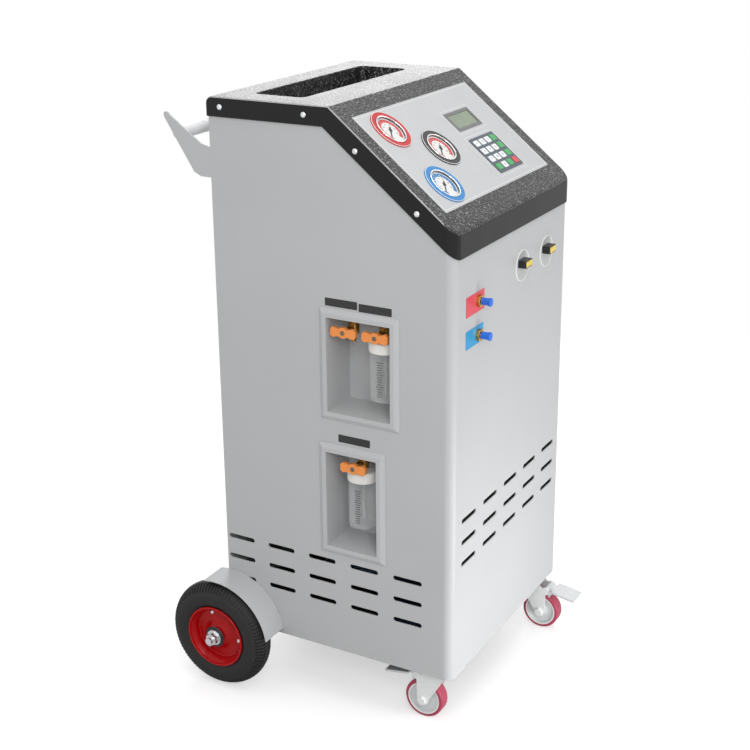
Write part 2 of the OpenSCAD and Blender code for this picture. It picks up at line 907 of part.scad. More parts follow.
module caster_plates() {
    color("gainsboro") for (s = [-1, 1]) at_caster(s) {
        translate([-plate_w / 2, -plate_d / 2, base_z - plate_t]) cube([plate_w, plate_d, plate_t]);
        translate([0, 0, base_z - plate_t - race_h])
            cylinder(r1 = race_r - race_taper, r2 = race_r, h = race_h);
        translate([0, 0, crown_low - gap - king_head_t]) cylinder(r = king_r, h = base_z - crown_low);
        translate([0, 0, crown_low - gap - king_head_t]) cylinder(r = king_head_r, h = king_head_t);
    }
}

module caster_fork(side) {
    color("gainsboro") at_caster(side) difference() {
        union() {
            translate([0, 0, crown_low]) cylinder(r = race_r, h = crown_t);
            translate([-leg_in - leg_t, -crown_d / 2, crown_low])
                cube([2 * (leg_in + leg_t), crown_d, crown_t]);
            for (s = [-1, 1]) translate([s * (leg_in + leg_t / 2), 0, 0]) along_x(leg_t) {
                polygon([[-crown_d / 2 + crown_step, crown_low + over], [crown_d / 2, crown_low + over],
                         [caster_trail + brake_dy, brake_z], [caster_trail + leg_r, caster_r],
                         [caster_trail - leg_r, caster_r]]);
                translate([caster_trail, caster_r]) circle(leg_r);
                translate([caster_trail + brake_dy, brake_z]) circle(brake_ear_r);
            }
            translate([0, caster_trail + brake_dy, brake_z]) rotate([0, 90, 0])
                cylinder(r = brake_pin_r, h = 2 * leg_in + leg_t, center = true);
            translate([0, caster_trail, caster_r]) rotate([0, 90, 0]) {
                cylinder(r = bolt_r, h = 2 * (leg_in + leg_t), center = true);
                for (s = [0, 1]) mirror([0, 0, s]) translate([0, 0, leg_in + leg_t - over])
                    cylinder(r = bolt_head_r, h = bolt_head_t + over, $fn = 6);
            }
        }
        translate([0, 0, crown_low - over]) cylinder(r = king_r + run, h = crown_t + 2 * over);
    }
}

// Wheel of a caster: local Z lies along its axle
module at_caster_wheel(side) {
    at_caster(side) translate([0, caster_trail, caster_r]) rotate([0, 90, 0]) children();
}

module caster_core(side) {
    half = caster_w / 2 - core_step;
    color("darkgray") at_caster_wheel(side) rotate_extrude() difference() {
        union() {
            translate([bolt_r + run, -leg_in + hub_gap]) square([bolt_r, 2 * (leg_in - hub_gap)]);
            translate([bolt_r + run, -half]) square([core_r - bolt_r - run, 2 * half]);
        }
        for (s = [-1, 1]) translate([2 * bolt_r + core_rim, s * half - core_dish / 2 * (s + 1)])
            square([core_r - 2 * (bolt_r + core_rim), core_dish]);
    }
}

module caster_tread(side) {
    half = caster_w / 2;
    soft = tread_t / 2;
    color("#c2566e") at_caster_wheel(side) rotate_extrude() difference() {
        union() {
            translate([core_r, -half]) square([tread_t - soft, 2 * half]);
            translate([core_r, -half + soft]) square([tread_t, 2 * (half - soft)]);
            for (s = [-1, 1]) translate([caster_r - soft, s * (half - soft)]) circle(soft);
        }
        translate([0, -half - over]) square([core_r, 2 * (half + over)]);
    }
}

// Pedal on a pin between the fork's ears, with a shoe over the tread
module caster_brake(side) {
    half = leg_in - gap;
    pedal_top = brake_r - pedal_low;
    pedal_end = pedal_reach - caster_trail - brake_dy;
    shoe_r = caster_r + shoe_gap;
    shoe = [shoe_r * sin(shoe_a) - brake_dy, caster_r + shoe_r * cos(shoe_a) - brake_z];
    color("silver") at_caster(side) translate([0, caster_trail + brake_dy, brake_z]) difference() {
        union() {
            along_x(2 * half) {
                circle(brake_r);
                polygon([
                    [0, -pedal_t / 2], [0, pedal_top], [pedal_start + pedal_t, pedal_top - over],
                    [pedal_start + pedal_t, pedal_top - pedal_t + over]
                ]);
                polygon([
                    [-over, 0], [shoe[0] - shoe_t, shoe[1]], shoe, [pedal_start - pedal_t, pedal_top - over]
                ]);
            }
            along_x(pedal_w) polygon([
                [pedal_start, pedal_top], [pedal_end, pedal_top - pedal_drop],
                [pedal_end, pedal_top - pedal_drop - pedal_t], [pedal_start, pedal_top - pedal_t]
            ]);
        }
        rotate([0, 90, 0]) cylinder(r = brake_pin_r + run, h = pedal_w, center = true);
    }
}

// Shut-off valve that hangs from the bay's ceiling, its stem facing out of the bay
module oil_valve(y, z, barb) {
    stem_end = knob_x + knob_t / 2;
    translate([valve_x, y, z]) {
        cylinder(r = valve_neck_r, h = valve_drop);
        translate([0, 0, -valve_body_r]) cylinder(r = valve_body_r, h = 2 * valve_body_r);
        rotate([0, -90, 0]) cylinder(r = valve_neck_r, h = valve_x - stem_end - knob_t / 2 - gap);
        rotate([0, -90, 0]) cylinder(r = stem_r, h = valve_x - stem_end);
        if (barb) {
            translate([0, 0, -barb_l]) cylinder(r = barb_r - barb_bite, h = barb_l);
            for (i = [0 : barb_n - 1]) translate([0, 0, -barb_l + i * barb_r])
                cylinder(r1 = barb_r - barb_bite, r2 = barb_r, h = barb_r);
        } else {
            translate([0, 0, -lid_drop]) cylinder(r = lid_nut_r, h = lid_drop);
            translate([0, 0, -lid_drop - lid_h - bottle_h + dip_end])
                cylinder(r = dip_r, h = bottle_h + lid_h + lid_drop - dip_end);
        }
    }
}

module oil_valves() {
    color("goldenrod") {
        oil_valve(refill_y, upper_valve_z, true);
        oil_valve(new_oil_y, upper_valve_z, false);
        oil_valve(waste_y, lower_valve_z, false);
    }
}

// Screw lid under a valve, open below for the bottle's neck
module bottle_lid(y, z) {
    translate([valve_x, y, z - lid_drop - lid_h]) difference() {
        cylinder(r = lid_r, h = lid_h);
        translate([0, 0, -over]) cylinder(r = neck_r + gap, h = lid_h - lid_top_t + over);
        cylinder(r = dip_r, h = lid_h + over);
    }
}

module bottle_lids() {
    color("white") {
        bottle_lid(new_oil_y, upper_valve_z);
        bottle_lid(waste_y, lower_valve_z);
    }
}

// Clear bottle: rounded foot, straight body, shoulder under the lid and a neck inside it
module bottle(y, z) {
    foot = 8;
    neck_top = lid_h - lid_top_t - gap;
    color("azure", 0.4) translate([valve_x, y, z - lid_drop - lid_h]) rotate_extrude() difference() {
        bottle_outline(bottle_r, neck_r, bottle_h, foot, gap, neck_top);
        bottle_outline(bottle_r - bottle_t, neck_r - bottle_t, bottle_h - bottle_t, foot - bottle_t,
                       gap + bottle_t, neck_top + over);
    }
}

// Bottle profile below and above the lid's edge: the shoulder lies at depth, the neck ends at top
module bottle_outline(r, neck, depth, foot, shoulder, top) {
    translate([0, -depth]) square([r - foot, foot]);
    translate([0, -depth + foot]) square([r, depth - foot - shoulder]);
    translate([0, -shoulder - over]) square([neck, top + shoulder + over]);
    intersection() {
        translate([r - foot, -depth + foot]) circle(foot);
        translate([0, -depth]) square([r, depth]);
    }
}

// Butterfly knob on a valve's stem
module knob(y, z) {
    a = knob_w / 2;
    b = knob_h / 2;
    color("orange") translate([knob_x + knob_t / 2, y, z]) difference() {
        along_x(knob_t) {
            circle(knob_boss_r);
            polygon([
                [0, -knob_waist], [a - knob_cut, -b], [a, -b + knob_cut], [a, b - knob_cut],
                [a - knob_cut, b], [0, knob_waist], [-a + knob_cut, b], [-a, b - knob_cut],
                [-a, -b + knob_cut], [-a + knob_cut, -b]
            ]);
        }
        translate([-over, 0, 0]) rotate([0, 90, 0]) cylinder(r = stem_r + run, h = knob_t);
    }
}

module port_fittings() {
    color("goldenrod") for (z = [high_port_z, low_port_z])
        translate([-port_x, front_y, z]) rotate([90, 0, 0]) {
            translate([0, 0, -port_back]) cylinder(r = port_back_r, h = port_back);
            cylinder(r = port_hex_r, h = port_hex_t, $fn = 6);
            cylinder(r = port_r, h = port_l);
        }
}

// Push-on dust cap over a port's stub
module port_cap(z) {
    bore = port_l - port_hex_t - cap_gap + gap;
    color("dodgerblue") translate([-port_x, front_y - port_hex_t - cap_gap, z]) rotate([90, 0, 0])
        difference() {
            union() {
                cylinder(r = cap_r - cap_step, h = cap_l);
                translate([0, 0, cap_l - cap_grip]) cylinder(r = cap_r, h = cap_grip);
            }
            translate([0, 0, -over]) cylinder(r = port_r + run, h = bore + over);
        }
}

// Fixed housing of a push button with a thin ring on the cabinet's front
module button_housings() {
    color("#303030") for (s = [-1, 1]) translate([btn_mid_x + s * btn_gap / 2, front_y, btn_z]) {
        difference() {
            translate([0, -btn_l / 2, 0]) cube([btn_w, btn_l, btn_h], center = true);
            translate([0, -btn_l / 2, 0])
                cube([btn_w - 2 * btn_wall, btn_l + over, btn_h - 2 * btn_wall], center = true);
        }
        translate([btn_ring_dx, 0, btn_ring_dz]) rotate([90, 0, 0]) difference() {
            cylinder(r = btn_ring_r, h = btn_ring_t);
            translate([0, 0, -over]) cylinder(r = btn_ring_r - btn_ring_w, h = btn_ring_t + 2 * over);
        }
    }
}

module push_button(s) {
    back = btn_travel + sheet_t;
    room = 2 * (btn_wall + gap);
    mid_y = front_y + (back - btn_l - btn_stand) / 2;
    color("gold") translate([btn_mid_x + s * btn_gap / 2, mid_y, btn_z])
        cube([btn_w - room, btn_l + btn_stand + back, btn_h - room], center = true);
}

// Gauge case with its coloured flange; the pocket in front takes the dial
module gauge_case() {
    end = -gauge_case_l - gauge_stub_l;
    rotate_extrude() polygon([
        [0, end], [gauge_stub_r, end], [gauge_stub_r, -gauge_case_l],
        [gauge_case_r, -gauge_case_l], [gauge_case_r, glue], [gauge_flange_r, glue],
        [gauge_flange_r, gauge_flange_t - bezel_soft], [gauge_flange_r - bezel_soft, gauge_flange_t],
        [bezel_r, gauge_flange_t], [bezel_r, -pocket_d], [0, -pocket_d]
    ]);
}

module at_high() {
    on_slope(-gauge_out_x, gauge_top_s) children();
}

module at_mid() {
    on_slope(-gauge_mid_x, gauge_top_s + gauge_step_s) children();
}

module at_low() {
    on_slope(-gauge_out_x, gauge_top_s + 2 * gauge_step_s) children();
}

module at_gauges() {
    at_high() children();
    at_mid() children();
    at_low() children();
}

module high_gauge() {
    color("#d22f2f") at_high() gauge_case();
}

module mid_gauge() {
    color("#222222") at_mid() gauge_case();
}

module low_gauge() {
    color("#2a86d8") at_low() gauge_case();
}

// Chrome ring that stands on the dial's rim and laps over the lens
module gauge_bezels() {
    lip = bezel_h - bezel_soft;
    foot = -pocket_d + dial_t + glue;
    inner = bezel_r - bezel_lip;
    color("silver") at_gauges() rotate_extrude() polygon([
        [lens_r + gap / 2, foot], [bezel_r - run, foot], [bezel_r - run, lip], [bezel_r - bezel_soft, bezel_h],
        [inner + bezel_soft, bezel_h], [inner, lip], [lens_r + gap / 2, lip]
    ]);
}

module gauge_dials() {
    pivot_h = dial_t + needle_lift + needle_t + needle_lift;
    color("white") at_gauges() translate([0, 0, -pocket_d + glue]) {
        cylinder(r = bezel_r - run, h = dial_t);
        cylinder(r = pivot_r, h = pivot_h);
    }
}

module gauge_lenses() {
    color("azure", 0.3) at_gauges() translate([0, 0, bezel_h - bezel_soft - glue - lens_t])
        cylinder(r = lens_r, h = lens_t);
}

// Pointer on the dial's pivot, at rest against zero
module needle() {
    hub = 3.5;
    tail = 8;
    tail_w = 3.2;
    mid_w = 2.4;
    tip_w = 0.6;
    clear = 2.5;
    tip = dial_r - bezel_lip - clear;
    color("black") translate([0, 0, -pocket_d + dial_t + needle_lift]) rotate([0, 0, rest_dir]) difference() {
        union() {
            cylinder(r = hub, h = needle_t);
            linear_extrude(needle_t) polygon([
                [-tail, -tail_w / 2], [0, -mid_w / 2], [tip, -tip_w / 2],
                [tip, tip_w / 2], [0, mid_w / 2], [-tail, tail_w / 2]
            ]);
        }
        translate([0, 0, -over]) cylinder(r = pivot_r + run, h = needle_t + 2 * over);
    }
}

module display_module() {
    color("#39443a") on_slope(disp_x, disp_s) translate([0, 0, -disp_back]) {
        linear_extrude(disp_back) square([disp_w, disp_l], center = true);
        translate([0, 0, -board_t]) linear_extrude(board_t)
            square([disp_w + 2 * disp_rim, disp_l + 2 * disp_rim], center = true);
    }
}

// Membrane keypad: a thin sheet glued on the fascia, with raised pads
module keypad() {
    pitch = [(key_w - 2 * key_edge) / key_n, (key_l - 2 * key_edge) / key_n];
    pad = [pitch[0] - key_gap, pitch[1] - key_gap];
    mid = (key_n - 1) / 2;
    color("#3a4254") on_slope(disp_x, key_s) translate([0, 0, glue]) {
        linear_extrude(key_film) square([key_w, key_l], center = true);
        for (i = [0 : key_n - 1], j = [0 : key_n - 1])
            translate([(i - mid) * pitch[0], (j - mid) * pitch[1], key_film / 2])
                linear_extrude(key_film / 2 + key_pad_h) square(pad, center = true);
    }
}

// Local frame of the inlet plate: X sideways, Y up and Z out of the rear panel
module at_inlet() {
    translate([inlet_x, rear_y, inlet_z]) rotate([-90, 0, 0]) mirror([0, 1, 0]) children();
}

// Mains inlet in one plate with the pocket and pin of the rocker switch
module power_inlet() {
    hole = [inlet_w - inlet_step - 2 * slack, inlet_l - inlet_step - 2 * slack];
    color("#262626") at_inlet() {
        difference() {
            union() {
                linear_extrude(inlet_t) square([inlet_w, inlet_l], center = true);
                translate([0, 0, -inlet_d]) linear_extrude(inlet_d) square(hole, center = true);
            }
            translate([0, socket_dz, inlet_t - socket_d]) linear_extrude(socket_d + over)
                square([socket_w, socket_h], center = true);
            translate([0, rocker_dz, inlet_t - rocker_pin - rocker_low])
                linear_extrude(rocker_pin + rocker_low + over) square([rocker_w, rocker_h], center = true);
        }
        for (p = socket_pins) translate([p[0], socket_dz + p[1], inlet_t - socket_d - over])
            linear_extrude(pin_l + over) square([pin_w, pin_h], center = true);
        translate([0, rocker_dz, inlet_t - rocker_pin]) rotate([0, 90, 0])
            cylinder(r = rocker_r, h = rocker_w + 2 * over, center = true);
    }
}

// Rocker at rest with its lower end pressed in
module power_rocker() {
    half = rocker_h / 2 - rocker_room;
    color("#8c1c1c") at_inlet() translate([0, rocker_dz, inlet_t - rocker_pin])
        rotate([rocker_tilt, 0, 0]) difference() {
            along_x(rocker_w - 2 * gap) polygon([
                [-half, -rocker_r], [-half, rocker_pin + over], [0, rocker_pin], [half, rocker_pin + over],
                [half, -rocker_r], [0, -2 * rocker_r]
            ]);
            rotate([0, 90, 0]) cylinder(r = rocker_r + run, h = rocker_w, center = true);
        }
}

// Tank outline turned about its axis, with rounded ends
module tank_outline(r, h, edge) {
    translate([0, edge]) square([r, h - 2 * edge]);
    square([r - edge, h]);
    for (z = [edge, h - edge]) intersection() {
        translate([r - edge, z]) circle(edge);
        square([r, h]);
    }
}

module refrigerant_tank() {
    color("skyblue") translate([tank_x, cab_cy + tank_dy, floor_z + scale_h]) {
        rotate_extrude() difference() {
            union() {
                translate([0, tank_foot_h]) tank_outline(tank_r, tank_h, tank_edge);
                translate([tank_foot_r - tank_t, 0]) square([tank_t, tank_foot_h + tank_edge / 2]);
            }
            translate([0, tank_foot_h + tank_t])
                tank_outline(tank_r - tank_t, tank_h - 2 * tank_t, tank_edge - tank_t);
        }
        translate([0, 0, tank_foot_h + tank_h - over]) cylinder(r = tank_tap_r, h = tank_tap_h);
    }
}

module weigh_platform() {
    color("gray") translate([tank_x, cab_cy + tank_dy, floor_z]) {
        translate([0, 0, scale_h / 2]) linear_extrude(scale_h / 2) round_rect(scale_w, scale_w, tray_r);
        for (sx = [-1, 1], sy = [-1, 1]) translate([sx * scale_w / 3, sy * scale_w / 3, 0])
            cylinder(r = scale_foot_r, h = scale_h);
    }
}

module compressor() {
    color("#1f1f1f") translate([comp_x, front_y + comp_back, floor_z]) {
        for (a = [45 : 90 : 315]) rotate([0, 0, a]) translate([comp_r - comp_foot_in, 0, 0])
            cylinder(r = comp_foot_r, h = comp_foot_h + comp_foot_up);
        translate([0, 0, comp_foot_h]) rotate_extrude() difference() {
            tank_outline(comp_r, comp_h, comp_dome);
            translate([0, tank_t]) tank_outline(comp_r - tank_t, comp_h - 2 * tank_t, comp_dome - tank_t);
        }
    }
}

module vacuum_pump() {
    wall = 2 * tank_t;
    color("#3d5a80") translate([pump_x, front_y + pump_back, floor_z]) {
        translate([-pump_w / 2, -pump_d / 2, 0]) difference() {
            cube([pump_w, pump_d, pump_h]);
            translate([tank_t, tank_t, tank_t]) cube([pump_w - wall, pump_d - wall, pump_h - wall]);
        }
        translate([-pump_w / 2 - pump_motor_l + over, 0, pump_h / 2]) rotate([0, 90, 0])
            cylinder(r = pump_motor_r, h = pump_motor_l);
    }
}

// Finned condenser block in front of the fan shroud
module condenser() {
    y1 = rear_y - sheet_t - shroud_d;
    fin = shroud_w / (2 * coil_fin_n + 1);
    color("silver") difference() {
        translate([-shroud_w / 2, y1 - coil_d, fan_z - shroud_w / 2]) cube([shroud_w, coil_d, shroud_w]);
        for (i = [0 : coil_fin_n - 1])
            translate([fin * (2 * i + 1) - shroud_w / 2, y1 - coil_d - over, fan_z - shroud_w / 2 + fin])
                cube([fin, coil_d - coil_back + over, shroud_w - 2 * fin]);
    }
}

// Box on the rear panel with a round duct, and the motor on four arms across it
module fan_motor() {
    inner = shroud_w - 2 * shroud_t;
    color("dimgray") translate([0, rear_y - sheet_t, fan_z]) {
        difference() {
            translate([0, -shroud_d / 2, 0]) cube([shroud_w, shroud_d, shroud_w], center = true);
            translate([-inner / 2, -shroud_d - over, -inner / 2])
                cube([inner, shroud_d - shroud_t + over, inner]);
            translate([0, over, 0]) rotate([90, 0, 0]) cylinder(r = fan_r, h = shroud_d);
        }
        translate([0, -shroud_d + spider_t / 2, 0]) {
            cube([inner + shroud_t, spider_t, spider_w], center = true);
            cube([spider_w, spider_t, inner + shroud_t], center = true);
        }
    }
    color("dimgray") translate([0, fan_y, fan_z]) rotate([90, 0, 0]) {
        translate([0, 0, gap]) cylinder(r = motor_r, h = motor_l);
        translate([0, 0, -fan_hub_t]) cylinder(r = shaft_r, h = fan_hub_t + gap + over);
    }
}

module condenser_fan() {
    color("#303030") translate([0, fan_y, fan_z]) rotate([-90, 0, 0]) difference() {
        union() {
            cylinder(r = fan_hub_r, h = fan_hub_t);
            for (i = [0 : fan_blades - 1]) rotate([0, 0, i * 360 / fan_blades])
                translate([fan_hub_r - fan_root, 0, fan_hub_t / 2]) rotate([fan_pitch, 0, 0])
                    translate([0, -fan_chord / 2, -fan_blade_t / 2])
                        cube([fan_r - fan_tip_gap - fan_hub_r + fan_root, fan_chord, fan_blade_t]);
        }
        translate([0, 0, -over]) cylinder(r = shaft_r + run, h = fan_hub_t + 2 * over);
    }
}

module filter_drier() {
    color("#2f7d4f") translate([drier_x, cab_cy + drier_dy, floor_z]) rotate_extrude() {
        difference() {
            tank_outline(drier_r, drier_h, drier_dome);
            translate([0, tank_t]) tank_outline(drier_r - tank_t, drier_h - 2 * tank_t, drier_dome - tank_t);
        }
        translate([0, drier_h - over]) square([drier_stub_r, drier_stub_l]);
    }
}

// Block behind the ports with a row of solenoid coils
module valve_manifold() {
    mid_z = (high_port_z + low_port_z) / 2;
    y0 = front_y + sheet_t;
    color("silver") {
        difference() {
            translate([-port_x - manifold_w / 2, y0, mid_z - manifold_h / 2])
                cube([manifold_w, manifold_d, manifold_h]);
            for (z = [high_port_z, low_port_z]) translate([-port_x, y0 + port_back - sheet_t, z])
                rotate([90, 0, 0]) cylinder(r = port_back_r + run, h = port_back);
        }
        for (i = [-1 : 1]) translate([-port_x, y0 + manifold_d - over, mid_z + i * manifold_h / 3])
            rotate([-90, 0, 0]) cylinder(r = coil_stub_r, h = coil_stub_l);
    }
}

// Circuit board on posts under the slope
module control_board() {
    color("darkgreen") on_slope(board_x, board_s) translate([0, 0, -board_depth]) {
        linear_extrude(board_t) square([board_w, board_l], center = true);
        for (sx = [-1, 1], sy = [-1, 1])
            translate([sx * (board_w / 2 - 2 * post_r), sy * (board_l / 2 - 2 * post_r), 0])
                cylinder(r = post_r, h = board_depth - hood_t);
    }
}

chassis_base();
cabinet_shell();
rear_panel();
top_hood();
control_fascia();
casing_screws();
bay_liners();
push_handle();
mudguards();
rear_axle();
axle_nuts();
caster_plates();
oil_valves();
bottle_lids();
port_fittings();
button_housings();
high_gauge();
mid_gauge();
low_gauge();
gauge_bezels();
gauge_dials();
gauge_lenses();
display_module();
keypad();
power_inlet();
refrigerant_tank();
weigh_platform();
compressor();
vacuum_pump();
condenser();
fan_motor();
filter_drier();
valve_manifold();
control_board();
rim(-1);  // left_rim
tyre(-1);  // left_tyre
rim(1);  // right_rim
tyre(1);  // right_tyre
caster_fork(-1);  // left_caster_fork
caster_core(-1);  // left_caster_core
caster_tread(-1);  // left_caster_tread
caster_brake(-1);  // left_caster_brake
caster_fork(1);  // right_caster_fork
caster_core(1);  // right_caster_core
caster_tread(1);  // right_caster_tread
caster_brake(1);  // right_caster_brake
knob(refill_y, upper_valve_z);  // refill_knob
knob(new_oil_y, upper_valve_z);  // new_oil_knob
knob(waste_y, lower_valve_z);  // waste_oil_knob
bottle(new_oil_y, upper_valve_z);  // new_oil_bottle
bottle(waste_y, lower_valve_z);  // waste_oil_bottle
at_high() needle();  // high_needle
at_mid() needle();  // mid_needle
at_low() needle();  // low_needle
port_cap(high_port_z);  // high_port_cap
port_cap(low_port_z);  // low_port_cap
push_button(-1);  // left_button
push_button(1);  // right_button
condenser_fan();
power_rocker();
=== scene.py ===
"""Refrigerant recovery machine: finishes, fine pieces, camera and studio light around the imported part."""

import json
import math

import bpy
from mathutils import Matrix, Quaternion, Vector

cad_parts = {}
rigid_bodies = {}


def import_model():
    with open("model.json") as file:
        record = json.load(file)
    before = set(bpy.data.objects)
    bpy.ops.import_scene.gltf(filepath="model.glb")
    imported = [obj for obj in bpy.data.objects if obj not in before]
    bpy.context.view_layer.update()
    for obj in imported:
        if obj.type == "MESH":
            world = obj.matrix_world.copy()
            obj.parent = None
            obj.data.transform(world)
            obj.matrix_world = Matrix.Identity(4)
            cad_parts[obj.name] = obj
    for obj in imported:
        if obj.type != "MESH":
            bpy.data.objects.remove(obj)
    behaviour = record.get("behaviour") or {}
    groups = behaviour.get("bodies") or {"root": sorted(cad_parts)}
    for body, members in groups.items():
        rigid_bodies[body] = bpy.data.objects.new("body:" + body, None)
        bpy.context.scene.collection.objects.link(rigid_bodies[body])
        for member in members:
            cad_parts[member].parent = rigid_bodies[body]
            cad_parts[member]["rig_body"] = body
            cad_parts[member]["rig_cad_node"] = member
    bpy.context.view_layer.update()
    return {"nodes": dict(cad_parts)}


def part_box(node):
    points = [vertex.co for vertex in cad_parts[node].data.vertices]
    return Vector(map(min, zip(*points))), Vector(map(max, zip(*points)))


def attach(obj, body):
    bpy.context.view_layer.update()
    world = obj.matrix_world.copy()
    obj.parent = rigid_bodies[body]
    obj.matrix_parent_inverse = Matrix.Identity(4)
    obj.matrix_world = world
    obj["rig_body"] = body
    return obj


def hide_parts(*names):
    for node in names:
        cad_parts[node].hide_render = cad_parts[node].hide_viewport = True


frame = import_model()

# Cabinet, in millimetres like every size below unless it says otherwise, from the frame where it gives them
MM = 0.001
shell_low, shell_high = (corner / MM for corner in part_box("cabinet_shell"))
FRONT = shell_low.y
REAR = shell_high.y
SIDE = shell_high.x
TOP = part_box("top_hood")[1].z / MM
SLOPE = math.radians(39)
CREASE = FRONT + 230
CORNER = 18
# Painted shade: a near black sheet behind the front slots; its size, its height and how far it stands behind
# the front
SLOT_SHADE_SIZE = (420, 128, 1)
VENT_Z = 364
SLOT_SHADE_BEHIND = 4

# Hood: wall, round rear corner, skirt, reach of the rim's rounding, tool tray
HOOD_WALL = 3
HOOD_TAIL = 12
SKIRT = 34
SIDE_EDGE = 2.5
NOSE_EDGE = 4.3
CREASE_EDGE = 1.4
LARGEST_EDGE = 5
TRAY = (370, 100, 40)
TRAY_BACK = 57
TRAY_CORNER = 12
TRAY_EDGE = 1.5
TRAY_ROOM = 1

# Control panel: places are (sideways, down the slope from the crease)
PANEL = (422, 224)
PANEL_T = 1.5
PANEL_AT = (0, 145)
SEAT_GAP = 0.2
SEAT_CUT = 20
SEAT_CORNER = 2
CUT_DEPTH = 9
GAUGES = {"high": (-143, 79), "mid": (-57, 144), "low": (-143, 209)}
CASE_R = 33
DISPLAY = (92, 42)
DISPLAY_AT = (88, 107)
KEYPAD_AT = (88, 192)

# Mesh tools: how near to a plane counts as on it, merging distances, and angles of flat and smooth surfaces
NEAR = 0.05
WELD = 0.002
SLIVER = 0.001
CAD_WELD = 0.01
FLAT = math.radians(0.4)
SMOOTH = math.radians(32)


def grab(obj):
    """Makes one object the active and only selected one."""
    bpy.ops.object.select_all(action="DESELECT")
    obj.select_set(True)
    bpy.context.view_layer.objects.active = obj


def pick(obj, kind, chosen):
    """Opens a mesh for editing with the edges or faces selected whose corners, in mm, pass the test."""
    grab(obj)
    bpy.ops.object.mode_set(mode="EDIT")
    bpy.ops.mesh.select_mode(type=kind)
    bpy.ops.mesh.select_all(action="DESELECT")
    bpy.ops.object.mode_set(mode="OBJECT")
    mesh = obj.data
    for part in mesh.edges if kind == "EDGE" else mesh.polygons:
        part.select = chosen([mesh.vertices[i].co / MM for i in part.vertices])
    bpy.ops.object.mode_set(mode="EDIT")


def soften(obj, width, steps, chosen):
    """Rounds the edges whose two ends pass the test."""
    pick(obj, "EDGE", chosen)
    bpy.ops.mesh.bevel(offset=width * MM, segments=steps, profile=0.5, affect="EDGES")
    bpy.ops.object.mode_set(mode="OBJECT")


def raise_faces(obj, height, chosen):
    """Lifts the faces that pass the test off their surface, as moulded ribs."""
    pick(obj, "FACE", chosen)
    bpy.ops.mesh.extrude_region_shrink_fatten(TRANSFORM_OT_shrink_fatten={"value": -height * MM})
    bpy.ops.object.mode_set(mode="OBJECT")


def shape(obj, kind, **settings):
    """Adds a modifier, sets it and applies it."""
    grab(obj)
    modifier = obj.modifiers.new(kind, kind)
    for key, value in settings.items():
        setattr(modifier, key, value)
    bpy.ops.object.modifier_apply(modifier=modifier.name)


def combine(obj, tool, how):
    """Cuts one solid from another or adds it, and deletes the tool."""
    shape(obj, "BOOLEAN", object=tool, operation=how, solver="EXACT")
    bpy.data.objects.remove(tool)


def settle(obj, place):
    """Moves an object to its place and leaves that place in the mesh."""
    obj.matrix_world = place @ obj.matrix_world
    grab(obj)
    bpy.ops.object.transform_apply(location=True, rotation=True, scale=True)
    return obj


def close_up(obj):
    """Merges doubled corners and turns every face outwards."""
    grab(obj)
    bpy.ops.object.mode_set(mode="EDIT")
    bpy.ops.mesh.select_all(action="SELECT")
    bpy.ops.mesh.remove_doubles(threshold=WELD * MM)
    bpy.ops.mesh.dissolve_degenerate(threshold=SLIVER * MM)
    bpy.ops.mesh.select_all(action="SELECT")
    bpy.ops.mesh.normals_make_consistent(inside=False)
    bpy.ops.object.mode_set(mode="OBJECT")


def outline(points, fill):
    """Adds a ring primitive with one corner per point and moves the corners onto the points."""
    bpy.ops.object.select_all(action="DESELECT")
    bpy.ops.mesh.primitive_circle_add(vertices=len(points), fill_type=fill)
    obj = bpy.context.object
    for corner, point in zip(obj.data.vertices, points):
        corner.co = Vector(point) * MM
    return obj


def extruded(points, along):
    """Solid swept from a flat outline."""
    obj = outline(points, "NGON")
    bpy.ops.object.mode_set(mode="EDIT")
    bpy.ops.mesh.select_all(action="SELECT")
    bpy.ops.mesh.extrude_region_move(TRANSFORM_OT_translate={"value": Vector(along) * MM})
    bpy.ops.object.mode_set(mode="OBJECT")
    close_up(obj)
    return obj


def turned(profile, place, steps=96):
    """Solid spun from a closed outline of (radius, height) about the place's own Z axis."""
    obj = outline([(r, 0, h) for r, h in profile], "NOTHING")
    bpy.ops.object.mode_set(mode="EDIT")
    bpy.ops.mesh.select_all(action="SELECT")
    bpy.ops.mesh.spin(steps=steps, angle=2 * math.pi, center=(0, 0, 0), axis=(0, 0, 1))
    bpy.ops.object.mode_set(mode="OBJECT")
    close_up(obj)
    return settle(obj, place)


def plate(size, place, corner=0.0, edge=0.0):
    """Block of (x, y, z) mm standing on the place's XY plane, with round corners and a soft upper edge."""
    bpy.ops.object.select_all(action="DESELECT")
    bpy.ops.mesh.primitive_cube_add(size=MM, location=(0, 0, size[2] * MM / 2))
    obj = bpy.context.object
    obj.scale = size
    bpy.ops.object.transform_apply(location=True, rotation=True, scale=True)
    upper = 0.99 * size[2]
    if corner:
        soften(obj, corner, steps=5, chosen=lambda ends: abs(ends[0].z - ends[1].z) > size[2] / 2)
    if edge:
        soften(obj, edge, steps=3, chosen=lambda ends: min(ends[0].z, ends[1].z) > upper)
    return settle(obj, place)


def arc(cx, cy, r, start, end, steps):
    """Points along a circle from one angle to another, in degrees."""
    angles = [math.radians(start + (end - start) * i / steps) for i in range(steps + 1)]
    return [(cx + r * math.cos(a), cy + r * math.sin(a)) for a in angles]


def every_other(u, v, count):
    """True for a point in every other one of the equal sectors round a centre."""
    return math.floor(math.atan2(v, u) / (2 * math.pi) * count) % 2 == 0


def joined(objects):
    """Joins several meshes into the first."""
    grab(objects[0])
    for obj in objects[1:]:
        obj.select_set(True)
    bpy.ops.object.join()
    return objects[0]


def copies(obj, places):
    """One mesh holding a copy of the piece at each place; the pattern piece itself goes."""
    made = []
    for place in places:
        twin = obj.copy()
        twin.data = obj.data.copy()
        bpy.context.scene.collection.objects.link(twin)
        made.append(settle(twin, place))
    bpy.data.objects.remove(obj)
    return joined(made)


